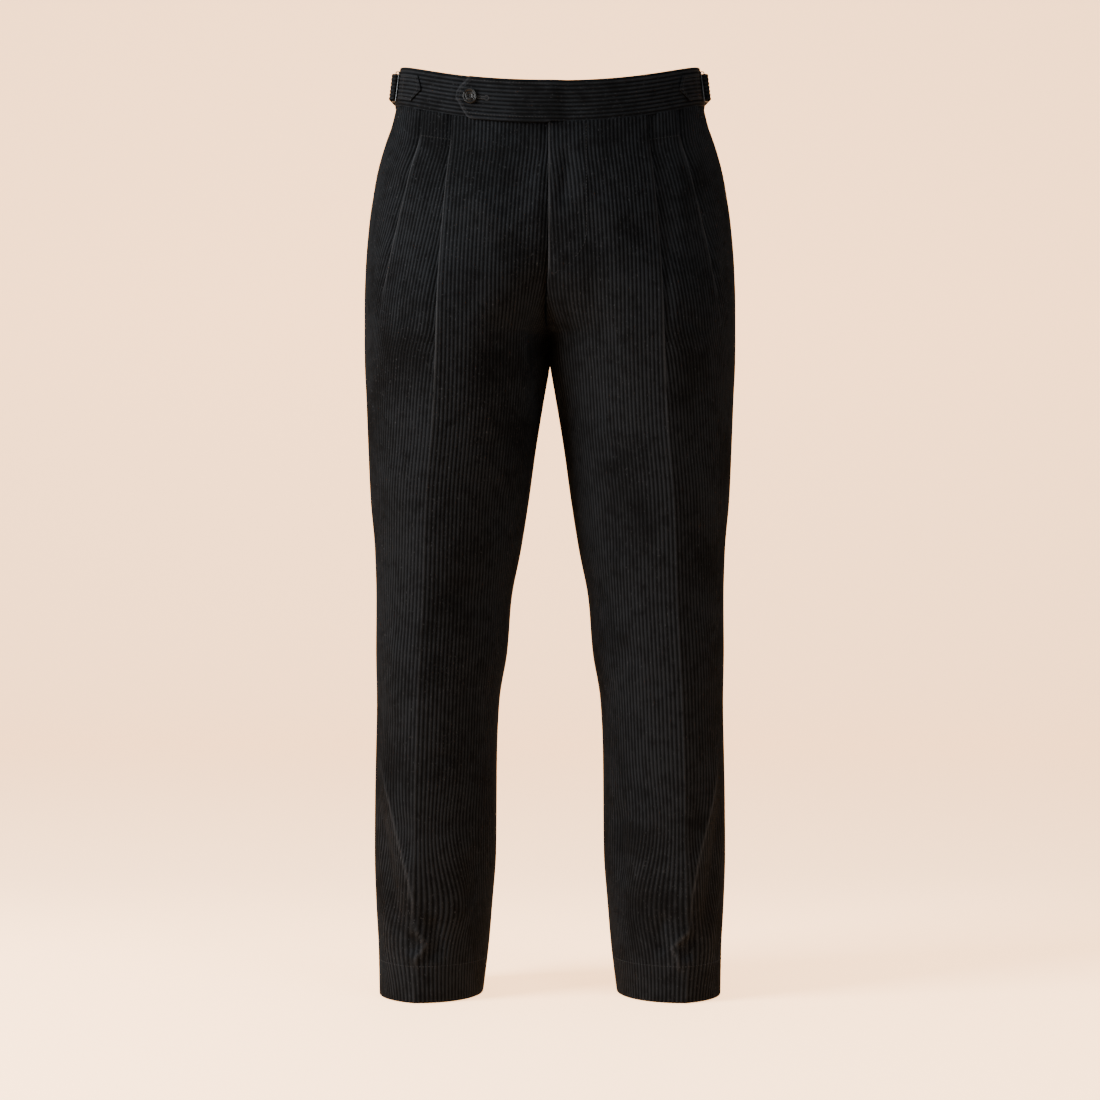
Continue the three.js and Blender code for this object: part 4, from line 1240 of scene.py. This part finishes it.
crosses = []
for shift in (-0.22, 0.22):
    crosses.append(((-HOLE_SPREAD, HOLE_SPREAD + shift), (HOLE_SPREAD, HOLE_SPREAD + shift)))
    crosses.append(((-HOLE_SPREAD, -HOLE_SPREAD + shift), (HOLE_SPREAD, -HOLE_SPREAD + shift)))
sew("button_thread", button_face, crosses, 0.26)

# Studio: a plain pale floor that sweeps up into the backdrop, one large soft key from the left of the
# picture, and weaker fills. The camera stands level with the middle of the garment.
HEM_Z = -ORIGIN_HEIGHT * MILLI
CAMERA_DISTANCE, CAMERA_HEIGHT = 2.8, 0.485
MM_PER_PIXEL, PICTURE, SENSOR = 1.10, 1100, 36.0
PAPER, PAPER_GLOW, PAPER_LIGHT = (0.80, 0.54, 0.34, 1), (1.0, 0.57, 0.28, 1), 3.3
WORLD_LIGHT, WORLD_COLOUR = 0.45, (0.76, 0.88, 1.0, 1)
# The paper's sizes: the floor runs from in front of the camera to the sweep, and up to the wall's top.
FLOOR_NEAR, SWEEP_START, SWEEP_RADIUS, WALL_TOP, HALF_WIDTH = -8.0, 3.6, 1.2, 9.0, 9.0
UNDER_HEM = 0.0006

floor_profile = [(FLOOR_NEAR, 0.0), (SWEEP_START, 0.0)]
floor_profile += [
    (SWEEP_START + SWEEP_RADIUS * np.sin(a), SWEEP_RADIUS * (1 - np.cos(a)))
    for a in np.linspace(0.1, np.pi / 2, 12)
]
floor_profile += [(SWEEP_START + SWEEP_RADIUS, WALL_TOP)]
verts = [(x, y, HEM_Z - UNDER_HEM + z) for y, z in floor_profile for x in (-HALF_WIDTH, HALF_WIDTH)]
faces = [(2 * i, 2 * i + 1, 2 * i + 3, 2 * i + 2) for i in range(len(floor_profile) - 1)]
mesh = bpy.data.meshes.new("backdrop")
mesh.from_pydata(verts, [], faces)
backdrop = add("backdrop", mesh)
for polygon in mesh.polygons:
    polygon.use_smooth = True
paper = Paint("paper_warm")
sideways = paper.node("ShaderNodeSeparateXYZ", inputs={"Vector": paper.place})
backward = paper.node("ShaderNodeSeparateXYZ", inputs={"Vector": paper.place}, output=1)


def grows(value, dim, bright):
    """Grows from 0 to 1 as a place passes from the dim end of the paper to the bright one."""
    inputs = {"Value": value, "From Min": dim, "From Max": bright}
    return paper.node("ShaderNodeMapRange", {"interpolation_type": "SMOOTHSTEP"}, inputs)


wedge = sideways.maths("ABSOLUTE").maths("DIVIDE", backward + CAMERA_DISTANCE)
near_end = grows(backward, -1.0, -0.65)
glow = grows(wedge, 0.36, 0.25) * near_end * (0.66 + 0.34 * grows(backward, 1.1, 0.2))
mesh.materials.append(paper.finish({
    "Base Color": PAPER,
    "Roughness": 0.9,
    "Emission Color": paper.mix(glow * 0.9 + 0.1, (0.0, 0.0, 0.0, 1), PAPER_GLOW),
    "Emission Strength": PAPER_LIGHT,
}))


def softbox(name, place, target, size, power):
    light = bpy.data.lights.new(name, "AREA")
    light.shape = "RECTANGLE"
    light.size, light.size_y = size
    light.energy = power
    lamp = add(name, light)
    lamp.location = place
    way = Vector(target) - Vector(place)
    lamp.rotation_euler = way.to_track_quat("-Z", "Y").to_euler()


softbox("key", (-2.9, -1.5, 0.7), (0, 0, -0.4), (1.4, 2.2), 560)
softbox("fill", (2.2, -2.8, 0.3), (0, 0, -0.5), (1.6, 2.0), 120)
softbox("top", (0.0, -0.4, 2.2), (0, 0, -0.4), (2.5, 2.0), 60)

world = bpy.data.worlds.new("studio_air")
bpy.context.scene.world = world
world.use_nodes = True
air = world.node_tree.nodes["Background"].inputs
air["Color"].default_value = WORLD_COLOUR
air["Strength"].default_value = WORLD_LIGHT

view = bpy.data.cameras.new("camera")
view.sensor_width = SENSOR
view.lens = SENSOR * CAMERA_DISTANCE / (MM_PER_PIXEL * PICTURE * MILLI)
camera = add("camera", view)
camera.location = (0.0, -CAMERA_DISTANCE, HEM_Z + CAMERA_HEIGHT)
camera.rotation_euler = (np.pi / 2, 0, 0)
bpy.context.scene.camera = camera
